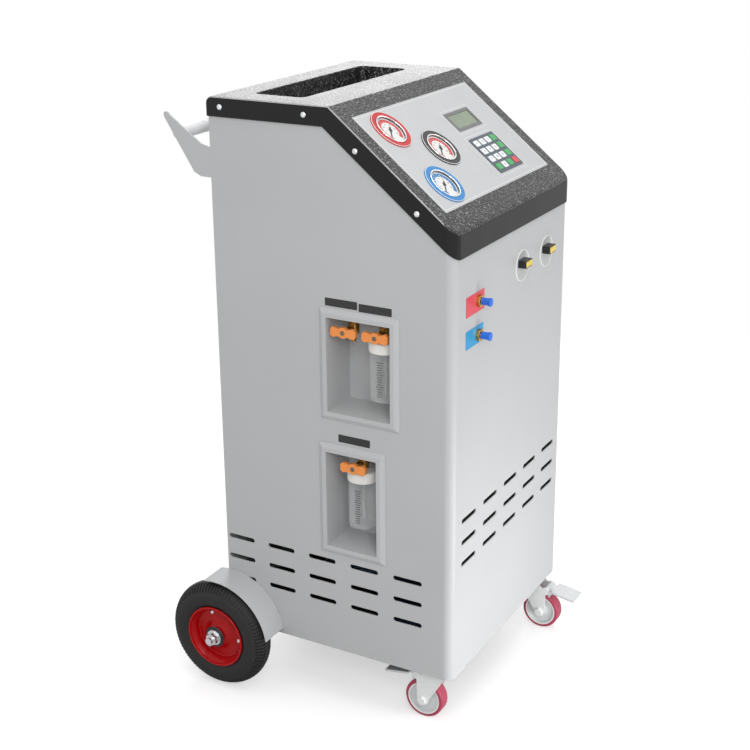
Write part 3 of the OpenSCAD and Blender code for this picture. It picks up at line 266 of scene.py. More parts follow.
def refined(node, width, steps, angle):
    """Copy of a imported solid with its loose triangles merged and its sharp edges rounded."""
    source = frame["nodes"][node]
    obj = source.copy()
    obj.data = source.data.copy()
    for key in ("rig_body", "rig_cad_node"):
        del obj[key]
    obj.parent = None
    bpy.context.scene.collection.objects.link(obj)
    grab(obj)
    bpy.ops.object.mode_set(mode="EDIT")
    bpy.ops.mesh.select_all(action="SELECT")
    bpy.ops.mesh.remove_doubles(threshold=CAD_WELD * MM)
    bpy.ops.mesh.dissolve_limited(angle_limit=FLAT)
    bpy.ops.object.mode_set(mode="OBJECT")
    if width:
        shape(obj, "BEVEL", width=width * MM, segments=steps, limit_method="ANGLE",
              angle_limit=math.radians(angle), harden_normals=False)
    return obj


def piece(obj, name, body, slot, finish, *replaced):
    """Names a finished mesh, gives it its material and fixes it to its body."""
    grab(obj)
    bpy.ops.object.shade_smooth_by_angle(angle=SMOOTH)
    shape(obj, "WEIGHTED_NORMAL", keep_sharp=True)
    obj.name = name
    obj.data.name = name
    obj.data.materials.clear()
    obj.data.materials.append(finish)
    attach(obj, body)
    if replaced:
        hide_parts(*replaced)
    return obj


def rounded(node, name, body, slot, finish, width, steps=2, angle=35):
    """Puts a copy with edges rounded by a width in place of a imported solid."""
    return piece(refined(node, width, steps, angle), name, body, slot, finish, node)


def paint(obj, finish, chosen):
    """Gives a second material to the faces whose middle, in mm, and normal pass the test."""
    obj.data.materials.append(finish)
    for face in obj.data.polygons:
        if chosen(face.center / MM, face.normal):
            face.material_index = len(obj.data.materials) - 1


# Places


def shift(x, y, z):
    """Plain move."""
    return Matrix.Translation(Vector((x, y, z)) * MM)


def at(x, y, z, towards=(0, 0, 1)):
    """Place whose own Z axis points along a direction."""
    return shift(x, y, z) @ Vector(towards).to_track_quat("Z", "Y").to_matrix().to_4x4()


def on_slope(x, s, lift=0.0):
    """Place on the control slope, s below the crease: X sideways, Y up the slope, Z out of it."""
    middle = Vector((x, CREASE - s * math.cos(SLOPE), TOP - s * math.sin(SLOPE)))
    out = Vector((0, -math.sin(SLOPE), math.cos(SLOPE)))
    return shift(*(middle + out * lift)) @ Matrix.Rotation(SLOPE, 4, "X")


def on_front(x, z, lift=0.0):
    """Place on the cabinet's front: X sideways, Y up, Z out of it."""
    return shift(x, FRONT - lift, z) @ Matrix.Rotation(math.pi / 2, 4, "X")


def on_left(y, z, lift=0.0):
    """Place on the cabinet's left side: X towards the front, Y up, Z out of it."""
    turn = Matrix(((0, 0, -1), (-1, 0, 0), (0, 1, 0))).to_4x4()
    return shift(-SIDE - lift, y, z) @ turn


def roof(y, inset):
    """Height of the hood's outline moved inwards, at a depth y."""
    crease = CREASE + inset * math.tan(SLOPE / 2)
    return TOP - inset - max(0.0, crease - y) * math.tan(SLOPE)


# Materials


def linear(code):
    """Linear colour of an sRGB hex value."""
    parts = [int(code[i:i + 2], 16) / 255 for i in (1, 3, 5)]
    return [c / 12.92 if c <= 0.04045 else ((c + 0.055) / 1.055) ** 2.4 for c in parts] + [1.0]


def add(tree, kind, sockets=None, **settings):
    """Adds a node, sets it, and fills its sockets with values or with other nodes' sockets."""
    node = tree.nodes.new(kind)
    for key, value in settings.items():
        setattr(node, key, value)
    for key, value in (sockets or {}).items():
        if isinstance(value, bpy.types.NodeSocket):
            tree.links.new(value, node.inputs[key])
        else:
            node.inputs[key].default_value = value
    return node


def surface(name, colour, **sockets):
    """New material with one shader, its plain values set on the shader's own sockets."""
    material = bpy.data.materials.new(name)
    material.use_nodes = True
    shader = material.node_tree.nodes["Principled BSDF"]
    shader.inputs["Base Color"].default_value = linear(colour)
    for key, value in sockets.items():
        shader.inputs[key.replace("_", " ")].default_value = value
    return material


def relief(material, size, depth, strength):
    """Fine bumps of a real size and depth, laid over the whole surface."""
    tree = material.node_tree
    place = add(tree, "ShaderNodeTexCoord")
    noise = add(tree, "ShaderNodeTexNoise",
                {"Vector": place.outputs["Object"], "Scale": 1 / (size * MM), "Detail": 2.0})
    bump = add(tree, "ShaderNodeBump",
               {"Height": noise.outputs["Fac"], "Distance": depth * MM, "Strength": strength})
    tree.links.new(bump.outputs["Normal"], tree.nodes["Principled BSDF"].inputs["Normal"])
    return material


def mottle(material, dark, light, size, rough):
    """Slow change of colour and gloss over patches of a real size, as handling and dust leave."""
    tree = material.node_tree
    shader = tree.nodes["Principled BSDF"]
    place = add(tree, "ShaderNodeTexCoord")
    noise = add(tree, "ShaderNodeTexNoise",
                {"Vector": place.outputs["Object"], "Scale": 1 / (size * MM), "Detail": 4.0})
    tint = add(tree, "ShaderNodeMix", {"Factor": noise.outputs["Fac"]}, data_type="RGBA")
    tint.inputs["A"].default_value = linear(dark)
    tint.inputs["B"].default_value = linear(light)
    tree.links.new(tint.outputs["Result"], shader.inputs["Base Color"])
    gloss = add(tree, "ShaderNodeMapRange",
                {"Value": noise.outputs["Fac"], "To Min": rough[0], "To Max": rough[1]})
    tree.links.new(gloss.outputs["Result"], shader.inputs["Roughness"])


def powder_coat(name, dark, light):
    """Baked powder paint on sheet steel: satin, with the slight orange peel that melted powder leaves."""
    material = surface(name, light, IOR=1.5, Specular_IOR_Level=0.35)
    mottle(material, dark, light, size=260, rough=(0.40, 0.50))
    return relief(material, size=2.4, depth=0.12, strength=0.10)


def enamel(name, dark, light, rough, shine=0.5):
    """Stoved enamel or ink: a clear or dull reflection with a faint ripple."""
    material = surface(name, light, IOR=1.5, Specular_IOR_Level=shine)
    mottle(material, dark, light, size=60, rough=(rough, rough + 0.12))
    return relief(material, size=6, depth=0.10, strength=0.08)


def moulded(name, dark, light, rough=0.35, grain=1.2, shine=0.5):
    """Injection-moulded plastic with the fine spark grain of its tool, drawn at a size that still shows."""
    material = surface(name, light, IOR=1.46, Specular_IOR_Level=shine)
    mottle(material, dark, light, size=45, rough=(rough, rough + 0.1))
    return relief(material, size=grain, depth=0.08, strength=0.15)


def plated(name, dark, light, rough, size=8.0, metal=1.0):
    """Plated or bare metal: cloudy gloss from the bath, with faint handling marks."""
    material = surface(name, light, Metallic=metal)
    mottle(material, dark, light, size=size, rough=rough)
    return relief(material, size=1.5, depth=0.03, strength=0.12)


def clear_shell(name, colour, alpha, edge, rough, shine=0.8):
    """Clear moulded plastic or glass: seen through, whiter where the wall turns away, glossy on its skin."""
    material = surface(name, colour, IOR=1.5, Specular_IOR_Level=shine)
    mottle(material, colour, "#ffffff", size=30, rough=(rough, rough + 0.06))
    tree = material.node_tree
    turn = add(tree, "ShaderNodeLayerWeight", {"Blend": 0.12})
    cover = add(tree, "ShaderNodeMapRange",
                {"Value": turn.outputs["Facing"], "To Min": alpha, "To Max": edge})
    tree.links.new(cover.outputs["Result"], tree.nodes["Principled BSDF"].inputs["Alpha"])
    return relief(material, size=9, depth=0.05, strength=0.06)


def hair_cell_abs():
    """Hood ABS with a hair-cell grain: near black, cells about 3 mm wide, painted glints on the crests."""
    cell, crest_size, crest_depth = 2.8, 3.6, 1.2
    material = surface("black hair-cell ABS", "#151516", IOR=1.5, Specular_IOR_Level=0.45)
    mottle(material, "#0a0a0b", "#111112", size=120, rough=(0.34, 0.44))
    tree = material.node_tree
    shader = tree.nodes["Principled BSDF"]
    place = add(tree, "ShaderNodeTexCoord")
    cells = add(tree, "ShaderNodeTexVoronoi",
                {"Vector": place.outputs["Object"], "Scale": 1 / (cell * MM)}, feature="SMOOTH_F1")
    fine = add(tree, "ShaderNodeTexNoise",
               {"Vector": place.outputs["Object"], "Scale": 1 / (crest_size * MM), "Detail": 1.0})
    height = add(tree, "ShaderNodeMath", {0: cells.outputs["Distance"], 1: fine.outputs["Fac"]},
                 operation="ADD")
    bump = add(tree, "ShaderNodeBump",
               {"Height": height.outputs["Value"], "Distance": crest_depth * MM, "Strength": 0.9})
    tree.links.new(bump.outputs["Normal"], shader.inputs["Normal"])
    # Painted glints: where the fine noise crests, the colour turns light grey as if it caught the lamps
    painted_glint = add(tree, "ShaderNodeMapRange",
                {"Value": fine.outputs["Fac"], "From Min": 0.54, "From Max": 0.70})
    ground = shader.inputs["Base Color"].links[0].from_socket
    tint = add(tree, "ShaderNodeMix", {"Factor": painted_glint.outputs["Result"], "A": ground}, data_type="RGBA")
    tint.inputs["B"].default_value = linear("#7a7a7b")
    tree.links.new(tint.outputs["Result"], shader.inputs["Base Color"])
    return material


def skirt_abs():
    """The same ABS where the mould wall left it smooth: dark, with a soft sheen and slow waves."""
    material = surface("black smooth ABS", "#121213", IOR=1.45, Specular_IOR_Level=0.32)
    mottle(material, "#0d0d0e", "#131314", size=90, rough=(0.38, 0.48))
    return relief(material, size=14, depth=0.10, strength=0.06)


def edge_highlight_abs():
    """The hood's long roof edges: a painted highlight, light grey and glossy, that draws a thin bright line.
    """
    material = surface("painted edge highlight on black ABS", "#6c6c6e", IOR=1.5)
    mottle(material, "#8a8a8c", "#b2b2b4", size=70, rough=(0.16, 0.24))
    return relief(material, size=10, depth=0.05, strength=0.05)


def tyre_rubber():
    """Carbon-black rubber: matt, greyed by dust in patches, with a fine pressed skin."""
    material = surface("black tyre rubber", "#171616", IOR=1.48)
    mottle(material, "#100f0f", "#1e1c1c", size=18, rough=(0.60, 0.78))
    return relief(material, size=1.4, depth=0.15, strength=0.35)


def soft_tread():
    """Cast polyurethane: slightly waxy, light sinks in a little at the edges."""
    material = surface("pink polyurethane", "#a83a52", IOR=1.5, Subsurface_Weight=0.15,
                       Subsurface_Scale=4 * MM)
    mottle(material, "#9a2c46", "#ae445c", size=14, rough=(0.36, 0.50))
    return relief(material, size=1.2, depth=0.06, strength=0.15)


def display_glass():
    """Unlit liquid-crystal window: a grey-green glow under a smooth pane."""
    material = surface("liquid-crystal window", "#5f7350", IOR=1.5, Coat_Weight=0.6, Coat_Roughness=0.05)
    mottle(material, "#4c5f42", "#74875f", size=26, rough=(0.16, 0.24))
    return relief(material, size=4, depth=0.02, strength=0.04)


# Powder coat: even satin greys that shade slowly over a panel
GREY = powder_coat("light grey powder coat", "#b3b4b5", "#bbbcbd")
WHITE_TUBE = powder_coat("white powder coat", "#e6e7e8", "#eeeff0")
CHASSIS = powder_coat("dark grey powder coat", "#3a3b3c", "#454647")

# Hood: grain with painted glints on the roof, a smooth dark skirt and a painted highlight line between them
HOOD = hair_cell_abs()
SKIRT_ABS = skirt_abs()
EDGE_HIGHLIGHT = edge_highlight_abs()

# Metals: zinc and chrome mirror the lamps, passivated zinc is whiter and duller, phosphated screws are dark
ZINC = plated("bright zinc plate", "#cdd0d3", "#e8eaec", (0.22, 0.38))
DULL_ZINC = plated("passivated zinc plate", "#c2c4c6", "#d6d8da", (0.30, 0.45), metal=0.35)
# Painted light: the forks' passivated zinc, made lighter than the pedals' to carry the strong light on the
# forks
PAINTED_LIGHT_ZINC = plated("passivated zinc plate with painted light", "#e0e2e2", "#eeefef", (0.30, 0.45), metal=0.15)
DARK_STEEL = plated("phosphated steel", "#62645e", "#82847c", (0.28, 0.40))
CHROME = plated("polished chrome", "#d4d6d8", "#e6e7e8", (0.06, 0.12), size=20)
BRASS = plated("turned brass", "#b58a45", "#cda35c", (0.20, 0.34))
ALUMINIUM = plated("mill aluminium", "#b4b6b8", "#cfd1d2", (0.34, 0.50), size=15)

# Clear plastic and glass: the rims, the highlights and what stands behind show, the walls hardly do
CLEAR = clear_shell("clear bottle plastic", "#e6eaeb", 0.02, 0.90, 0.05)
LENS = clear_shell("gauge glass", "#f4f7f8", 0.03, 0.06, 0.03, shine=0.25)
TUBE = clear_shell("milky dip tube", "#d4d8d9", 0.22, 0.70, 0.20, shine=0.4)

# Moulded plastics: full colour with one soft highlight; the overlay and the black slot sheet hardly shine
FASCIA = moulded("silver polycarbonate overlay", "#bdbebf", "#c6c7c8", 0.50, grain=0.9, shine=0.25)
# Painted shade: near black sheet that keeps the front slots dark
SLOT_SHADE_SHEET = moulded("black sheet for painted slot shade", "#060606", "#0d0d0d", 0.85, grain=2.0, shine=0.1)
LID_WHITE = moulded("white polypropylene", "#e4e4e1", "#efefec")
ORANGE = moulded("orange ABS", "#e8863c", "#f29a50", 0.30)
CAP_BLUE = moulded("blue soft polythene", "#1c5fc8", "#2a72de", 0.34)
BLACK_ABS = moulded("black ABS", "#18181a", "#242426", 0.34)
DISPLAY_GREY = moulded("dark grey ABS", "#58595a", "#666768", 0.36)
YELLOW = moulded("yellow acrylic", "#dcc03c", "#ead25a", 0.26)
ROCKER = moulded("red rocker plastic", "#a81c20", "#b8282c", 0.28)
CORE = moulded("pale grey nylon", "#cacccd", "#d6d8d9", 0.38)
BOARD = moulded("green circuit board", "#1c5a32", "#24683c", 0.45)

# Keypad films: flat, slightly dull colour
KEYPAD = moulded("slate keypad film", "#38434f", "#43505d", 0.40)
KEY_WHITE = moulded("white key film", "#dfe2e4", "#ebedee", 0.40)
KEY_GREEN = moulded("green key film", "#2f9a4e", "#3bad5b", 0.40)
KEY_RED = moulded("red key film", "#c8383a", "#d8484a", 0.40)

# Enamels: strong flat colour under a thin gloss, clearest on the rims
FLANGE_RED = enamel("red gauge enamel", "#b4161c", "#c62228", 0.34, shine=0.3)
FLANGE_BLACK = enamel("black gauge enamel", "#121213", "#1a1a1c", 0.34, shine=0.3)
FLANGE_BLUE = enamel("blue gauge enamel", "#0874b4", "#1084c8", 0.34, shine=0.3)
RIM_RED = enamel("red rim enamel", "#a00509", "#b00a0f", 0.20, shine=0.22)
PLATE_RED = enamel("red marking plate", "#d03a48", "#da4854", 0.35)
PLATE_BLUE = enamel("blue marking plate", "#0a8cc0", "#1598cc", 0.35)
PLATE_BLACK = enamel("black marking plate", "#1a1a1b", "#252526", 0.40)
TANK = enamel("blue-grey tank enamel", "#7f9cb4", "#8eabc2", 0.3)
MACHINE_BLACK = enamel("black machine enamel", "#151516", "#202022", 0.3)
PUMP = enamel("dark blue pump enamel", "#1e2a3c", "#283648", 0.3)

# Lacquer and inks: matt print that stays readable under the glass
DIAL = enamel("white dial lacquer", "#dededc", "#e8e8e6", 0.45, shine=0.3)
INK_BLACK = enamel("black printing ink", "#101011", "#1a1a1b", 0.5, shine=0.3)
INK_RED = enamel("red printing ink", "#c2272c", "#d2363a", 0.5, shine=0.3)
INK_BLUE = enamel("blue printing ink", "#1270ae", "#1e80c0", 0.5, shine=0.3)
INK_WHITE = enamel("white printing ink", "#dadbdc", "#e6e7e8", 0.5, shine=0.3)
INK_GREY = enamel("grey moulded scale", "#484c4e", "#5c6062", 0.4)

LCD = display_glass()
RUBBER = tyre_rubber()
TREAD = soft_tread()


def dress(finish, *nodes):
    """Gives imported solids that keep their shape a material."""
    for node in nodes:
        mesh = frame["nodes"][node].data
        mesh.materials.clear()
        mesh.materials.append(finish)


dress(CHASSIS, "chassis_base")
dress(TANK, "refrigerant_tank", "filter_drier")
dress(ALUMINIUM, "weigh_platform", "condenser", "valve_manifold")
dress(MACHINE_BLACK, "compressor")
dress(PUMP, "vacuum_pump")
dress(BLACK_ABS, "fan_motor", "condenser_fan")
dress(BOARD, "control_board")
dress(DIAL, "gauge_dials")
dress(LCD, "display_module")


# Cabinet and hood


def cabinet():
    """Wrap, rear panel, bay liners and mudguards with softened edges, and a black sheet behind the front
    slots as painted shade.
    """
    rounded("cabinet_shell", "cabinet_wrap", "machine", "cabinet_paint", GREY, 0.5)
    rounded("rear_panel", "rear_sheet", "machine", "cabinet_paint", GREY, 0.4)
    rounded("bay_liners", "bay_tubs", "machine", "cabinet_paint", GREY, 1.6, steps=3, angle=20)
    rounded("mudguards", "wheel_guards", "machine", "cabinet_paint", GREY, 0.6)
    # Painted shade: a near black sheet just behind the front slots keeps them dark
    slot_shade = plate(SLOT_SHADE_SIZE, on_front(0, VENT_Z, -SLOT_SHADE_BEHIND), corner=4, edge=0.3)
    piece(slot_shade, "front_slot_shade_sheet", "machine", "black_plastic", SLOT_SHADE_SHEET)


def rim_round(ends, front):
    """How far the rounding of one rim edge of the hood reaches from the edge."""
    if all(abs(q.y - CREASE) < NEAR for q in ends):
        return CREASE_EDGE
    corner = CORNER + HOOD_WALL
    turn = max(0.0, front + corner - (ends[0].y + ends[1].y) / 2) / corner
    return SIDE_EDGE + (NOSE_EDGE - SIDE_EDGE) * min(1.0, turn)


def on_tail(ends, rear):
    """True for the outer edges of the hood's side that follow its round rear corner and run down from it."""
    return abs(ends[0].x - ends[1].x) < NEAR and all(
        abs(q.x) > SIDE and q.y > rear - HOOD_TAIL - NEAR and q.z > TOP - SKIRT - NEAR for q in ends)


def round_roof(obj, front, rear):
    """Rounds the hood's rim edges, each by its own width."""
    weights = obj.data.attributes.new("bevel_weight_edge", "FLOAT", "EDGE")
    for edge in obj.data.edges:
        ends = [obj.data.vertices[i].co / MM for i in edge.vertices]
        across = abs(ends[0].x - ends[1].x) > NEAR and ends[0].y > CREASE + NEAR
        on_rim = all(abs(q.z - roof(q.y, 0)) < NEAR for q in ends)
        if not across and (on_tail(ends, rear) or on_rim):
            weights.data[edge.index].value = rim_round(ends, front) / LARGEST_EDGE
    shape(obj, "BEVEL", width=LARGEST_EDGE * MM, segments=5, limit_method="WEIGHT", use_clamp_overlap=False)


def prism(wide, rim, corner, tail):
    """Block swept from a side outline that starts at its upper rear, with round front and rear corners."""
    rear, top = rim[0]
    front = min(y for y, z in rim)
    obj = extruded([(-wide, y, z) for y, z in rim], (2 * wide, 0, 0))
    soften(obj, corner, steps=8, chosen=lambda ends: (
        abs(ends[0].x - ends[1].x) < NEAR and all(abs(q.y - front) < NEAR for q in ends)))
    soften(obj, tail, steps=6, chosen=lambda ends: all(
        abs(q.y - rear) < NEAR and abs(q.z - top) < NEAR for q in ends))
    return obj


# How far a normal of the hood may rise on its skirt, and leans and rises on the edges with the painted
# highlight
SKIRT_RISE = 0.25
EDGE_LEAN = (0.3, 0.95)
EDGE_RISE = 0.2


def on_skirt(middle, normal):
    """True for the hood's upright outer faces."""
    outside = abs(middle.x) > SIDE - CORNER or middle.y < FRONT + CORNER or middle.y > REAR - 1
    return outside and abs(normal.z) < SKIRT_RISE


def on_highlight_edge(middle, normal):
    """True for the leaning faces along the hood's two side edges, short of the nose, that get the painted
    highlight.
    """
    least, most = EDGE_LEAN
    leaning = least < abs(normal.x) < most and normal.z > EDGE_RISE
    return leaning and abs(middle.x) > SIDE and middle.y > FRONT + 2 * CORNER


def hood():
    """Moulded hood: prism with round corners and rims, hollowed, with its tray and the fascia's seat."""
    front = FRONT - HOOD_WALL
    rear = REAR + HOOD_WALL
    crease_low = CREASE + SKIRT * math.tan(SLOPE / 2)
    rim = [(rear, TOP), (CREASE, TOP), (front, roof(front, 0)), (front, roof(front, SKIRT)),
           (crease_low, TOP - SKIRT), (rear, TOP - SKIRT)]
    obj = prism(SIDE + HOOD_WALL, rim, CORNER + HOOD_WALL, HOOD_TAIL)
    round_roof(obj, front, rear)
    crease_in = CREASE + HOOD_WALL * math.tan(SLOPE / 2)
    inside = [(REAR, TOP - HOOD_WALL), (crease_in, TOP - HOOD_WALL), (FRONT, roof(FRONT, HOOD_WALL)),
              (FRONT, TOP / 2), (REAR, TOP / 2)]
    combine(obj, prism(SIDE, inside, CORNER, HOOD_TAIL - HOOD_WALL), "DIFFERENCE")
    long, deep, high = TRAY
    tray_y = REAR - TRAY_BACK - deep / 2
    tub = plate((long + 2 * HOOD_WALL, deep + 2 * HOOD_WALL, high + HOOD_WALL / 2),
                at(0, tray_y, TOP - high - HOOD_WALL), TRAY_CORNER + HOOD_WALL)
    combine(obj, tub, "UNION")
    combine(obj, plate((long, deep, 2 * high), at(0, tray_y, TOP - high), TRAY_CORNER), "DIFFERENCE")
    soften(obj, TRAY_EDGE, steps=3, chosen=lambda ends: all(
        abs(q.z - TOP) < NEAR and abs(q.x) < long / 2 + TRAY_ROOM
        and abs(q.y - tray_y) < deep / 2 + TRAY_ROOM for q in ends))
    seat = (PANEL[0] + 2 * SEAT_GAP, PANEL[1] + 2 * SEAT_GAP, SEAT_CUT)
    combine(obj, plate(seat, on_slope(*PANEL_AT, -PANEL_T), SEAT_CORNER), "DIFFERENCE")
    bore = [(0, -CUT_DEPTH), (CASE_R, -CUT_DEPTH), (CASE_R, CUT_DEPTH), (0, CUT_DEPTH)]
    for spot in GAUGES.values():
        combine(obj, turned(bore, on_slope(*spot), steps=48), "DIFFERENCE")
    window = (DISPLAY[0] + 2 * SEAT_GAP, DISPLAY[1] + 2 * SEAT_GAP, 2 * CUT_DEPTH)
    combine(obj, plate(window, on_slope(*DISPLAY_AT, -CUT_DEPTH)), "DIFFERENCE")
    piece(obj, "hood_moulding", "machine", "hood_plastic", HOOD, "top_hood")
    paint(obj, SKIRT_ABS, on_skirt)
    # Painted highlight: a light grey glossy strip along the hood's two side edges
    paint(obj, EDGE_HIGHLIGHT, on_highlight_edge)


HANDLE_PLATE = 5
TUBE_BACK = 20


def handle():
    """Push handle: grey plates and a whiter tube."""
    obj = rounded("push_handle", "handle_frame", "machine", "cabinet_paint", GREY, 0.8)
    paint(obj, WHITE_TUBE, lambda c, n: abs(c.x) < SIDE - HANDLE_PLATE and c.y > REAR + TUBE_BACK)


# Control panel: gauge outlines are (radius, height over the slope), angles are degrees on the dial
GAUGE_FINISH = {"high": (FLANGE_RED, "gauge_red", INK_RED), "mid": (FLANGE_BLACK, "gauge_black", INK_RED),
                "low": (FLANGE_BLUE, "gauge_blue", INK_BLUE)}
FLANGE = [(0, -44), (6, -44), (6, -30), (CASE_R, -30), (CASE_R, 0), (41, 0), *arc(39.6, 0.8, 1.4, 0, 90, 4),
          *arc(32.2, 1.2, 1.0, 90, 180, 3), (31.2, -4), (0, -4)]
RIM_LINE = [(39.6, 2.1), (40.5, 1.8), (40.6, 2.0), (39.7, 2.4)]
CHROME_RING = [(29.5, -2.85), (30.9, -2.85), (30.9, 2.3), *arc(29.8, 2.3, 1.1, 0, 90, 4),
               *arc(29.5, 2.3, 1.1, 90, 180, 4), (28.4, 1.8), (29.5, 1.8)]
CASE_WALL = [(28.8, -2.9), (29.4, -2.9), (29.4, 1.7), (28.8, 1.7)]
DIAL_Z = -1.0
DIAL_R = 28.7
DIAL_FACE = [(0, -2.9), (DIAL_R, -2.9), (DIAL_R, DIAL_Z), (0, DIAL_Z)]
GLASS = [(0, 0.9), (DIAL_R, 0.9), (DIAL_R, 1.6), (0, 1.6)]
BAND_R = (18.2, 25.4)
BAND_ENDS = (-60, 240)
BAND_STEPS = 60
BAND_T = 0.06
SWEEP = 270
TICKS = 30
TICK = (0.45, 2.6, 0.12)
TICK_R = 20.2
MARK = (0.8, 1.8, 0.1)
MARK_R = 26.6
FIGURES = 7
FIGURE_R = 13.6
FIGURE_H = 4.6
FIGURE_STEP = 5
FIGURE_LIFT = 0.05
NEEDLE_REST = 225
NEEDLE_LIFT = 0.3
NEEDLE_T = 0.6
NEEDLE_BLADE = [(-8, -1.8), (0, -1.6), (20, -0.6), (21.5, 0), (20, 0.6), (0, 1.6), (-8, 1.8)]
NEEDLE_BOSS = [(0, 0.1), (3.6, 0.1), (3.6, 0.8), (2.8, 1.2), (0, 1.2)]
INK_T = 0.08


def lettering(text, size, place):
    """Printed figure as a thin mesh, centred on its place."""
    bpy.ops.object.select_all(action="DESELECT")
    bpy.ops.object.text_add()
    obj = bpy.context.object
    obj.data.body = text
    obj.data.size = size * MM
    obj.data.align_x = "CENTER"
    obj.data.align_y = "CENTER"
    obj.data.extrude = INK_T * MM / 2
    obj.data.resolution_u = 2
    bpy.ops.object.convert(target="MESH")
    return settle(bpy.context.object, place)


def spun(degrees):
    """Turn about a place's own Z axis."""
    return Matrix.Rotation(math.radians(degrees), 4, "Z")


def gauge(name):
    """One gauge: enamelled flange, light rim line, printed scale with figures, bold pointer on its needle."""
    flange, slot, ink = GAUGE_FINISH[name]
    place = on_slope(*GAUGES[name])
    dial = on_slope(*GAUGES[name], DIAL_Z)
    piece(turned(FLANGE, place), f"{name}_gauge_flange", "machine", slot, flange, f"{name}_gauge")
    piece(turned(RIM_LINE, place), f"{name}_gauge_rim_line", "machine", "dial_white", DIAL)
    first, last = BAND_ENDS
    band = arc(0, 0, BAND_R[1], first, last, BAND_STEPS) + arc(0, 0, BAND_R[0], last, first, BAND_STEPS)
    scale = settle(extruded([(u, v, 0) for u, v in band], (0, 0, BAND_T)), dial)
    piece(scale, f"{name}_scale_band", "machine", "needle_black", ink)
    turns = [dial @ spun(SWEEP / 2 - SWEEP * i / TICKS) for i in range(TICKS + 1)]
    ticks = copies(plate(TICK, shift(0, TICK_R, 0)), turns[::2])
    piece(ticks, f"{name}_scale_ticks", "machine", "dial_white", DIAL)
    marks = copies(plate(MARK, shift(0, MARK_R, 0)), turns[::5])
    figures = []
    for i in range(FIGURES):
        a = math.radians(NEEDLE_REST - SWEEP * i / (FIGURES - 1))
        spot = shift(FIGURE_R * math.cos(a), FIGURE_R * math.sin(a), FIGURE_LIFT)
        figures.append(lettering(str(FIGURE_STEP * i), FIGURE_H, dial @ spot))
    piece(joined([marks, *figures]), f"{name}_scale_marks", "machine", "needle_black", INK_BLACK)
    rest = on_slope(*GAUGES[name], DIAL_Z + NEEDLE_LIFT) @ spun(NEEDLE_REST)
    blade = settle(extruded([(u, v, 0) for u, v in NEEDLE_BLADE], (0, 0, NEEDLE_T)), rest)
    pointer = joined([blade, turned(NEEDLE_BOSS, rest, steps=40)])
    piece(pointer, f"{name}_pointer", f"{name}_needle_body", "needle_black", INK_BLACK, f"{name}_needle")


def gauge_fronts():
    """Chrome rings, black case walls, printed faces and flat glasses of the three gauges."""
    parts = [(CHROME_RING, "gauge_chrome_rings", "gauge_chrome", CHROME, ["gauge_bezels"]),
             (CASE_WALL, "gauge_case_walls", "gauge_black", FLANGE_BLACK, []),
             (DIAL_FACE, "gauge_faces", "dial_white", DIAL, []),
             (GLASS, "gauge_glasses", "lens_clear", LENS, ["gauge_lenses"])]
    for profile, name, slot, finish, nodes in parts:
        made = [turned(profile, on_slope(*spot)) for spot in GAUGES.values()]
        piece(joined(made), name, "machine", slot, finish, *nodes)


LINE_T = 0.12
LINE_CUT = 2
PANEL_LINE = (414, 216)
DISPLAY_LINE = (106, 56)
DISPLAY_BEZEL = (94, 44, 0.9)
DISPLAY_PANE = (80, 31, 6)
PANE_DEEP = 2
KEYPAD_LINE = (109, 96)
KEYPAD_LINE_AT = (87, 192)
KEY_FILM = (97, 84, 1)
KEY_PAD = (17, 13.4, 0.8)
KEY_PITCH = (22.5, 19.25)
KEY_ROWS = ("wwwg", "wwwg", "wwwg", "gwgr")
KEY_FINISH = {"w": KEY_WHITE, "g": KEY_GREEN, "r": KEY_RED}
FILM_LIFT = 0.05
PAD_LIFT = FILM_LIFT + KEY_FILM[2]
KEY_FIGURE_H = 8
KEY_FIGURE_LIFT = 1.87


def frame_line(size, spot, width=0.8, corner=3.0):
    """Thin printed rectangle round a group of controls."""
    w, h = size
    obj = plate((w, h, LINE_T), on_slope(*spot), corner)
    hole = plate((w - 2 * width, h - 2 * width, 2 * LINE_CUT), on_slope(*spot) @ shift(0, 0, -LINE_CUT),
                 corner - width)
    combine(obj, hole, "DIFFERENCE")
    return obj


def control_panel():
    """Fascia, display window, keypad with figures, and the printed lines round them."""
    rounded("control_fascia", "fascia_overlay", "machine", "fascia_film", FASCIA, 0.3)
    lines = [frame_line(DISPLAY_LINE, DISPLAY_AT), frame_line(KEYPAD_LINE, KEYPAD_LINE_AT),
             frame_line(PANEL_LINE, PANEL_AT, width=0.9, corner=4)]
    piece(joined(lines), "fascia_lines", "machine", "dial_white", INK_WHITE)
    bezel = plate(DISPLAY_BEZEL, on_slope(*DISPLAY_AT), corner=1.5, edge=0.4)
    combine(bezel, plate(DISPLAY_PANE, on_slope(*DISPLAY_AT, -PANE_DEEP), corner=1), "DIFFERENCE")
    piece(bezel, "display_bezel", "machine", "black_plastic", DISPLAY_GREY)
    film = plate(KEY_FILM, on_slope(*KEYPAD_AT, FILM_LIFT), corner=3, edge=0.4)
    piece(film, "keypad_membrane", "machine", "keypad_film", KEYPAD, "keypad")
    spots = {"w": [], "g": [], "r": []}
    for row, names in enumerate(KEY_ROWS):
        for column, colour in enumerate(names):
            spots[colour].append((KEYPAD_AT[0] + (column - 1.5) * KEY_PITCH[0],
                                  KEYPAD_AT[1] + (row - 1.5) * KEY_PITCH[1]))
    for colour, places in spots.items():
        pad = plate(KEY_PAD, Matrix.Identity(4), corner=2, edge=0.5)
        pads = copies(pad, [on_slope(*spot, PAD_LIFT) for spot in places])
        piece(pads, f"keypad_pads_{colour}", "machine", "keypad_film", KEY_FINISH[colour])
    figures = [lettering(text, KEY_FIGURE_H, on_slope(*spot, KEY_FIGURE_LIFT))
               for text, spot in zip("1234567890", spots["w"])]
    piece(joined(figures), "keypad_figures", "machine", "needle_black", INK_BLACK)


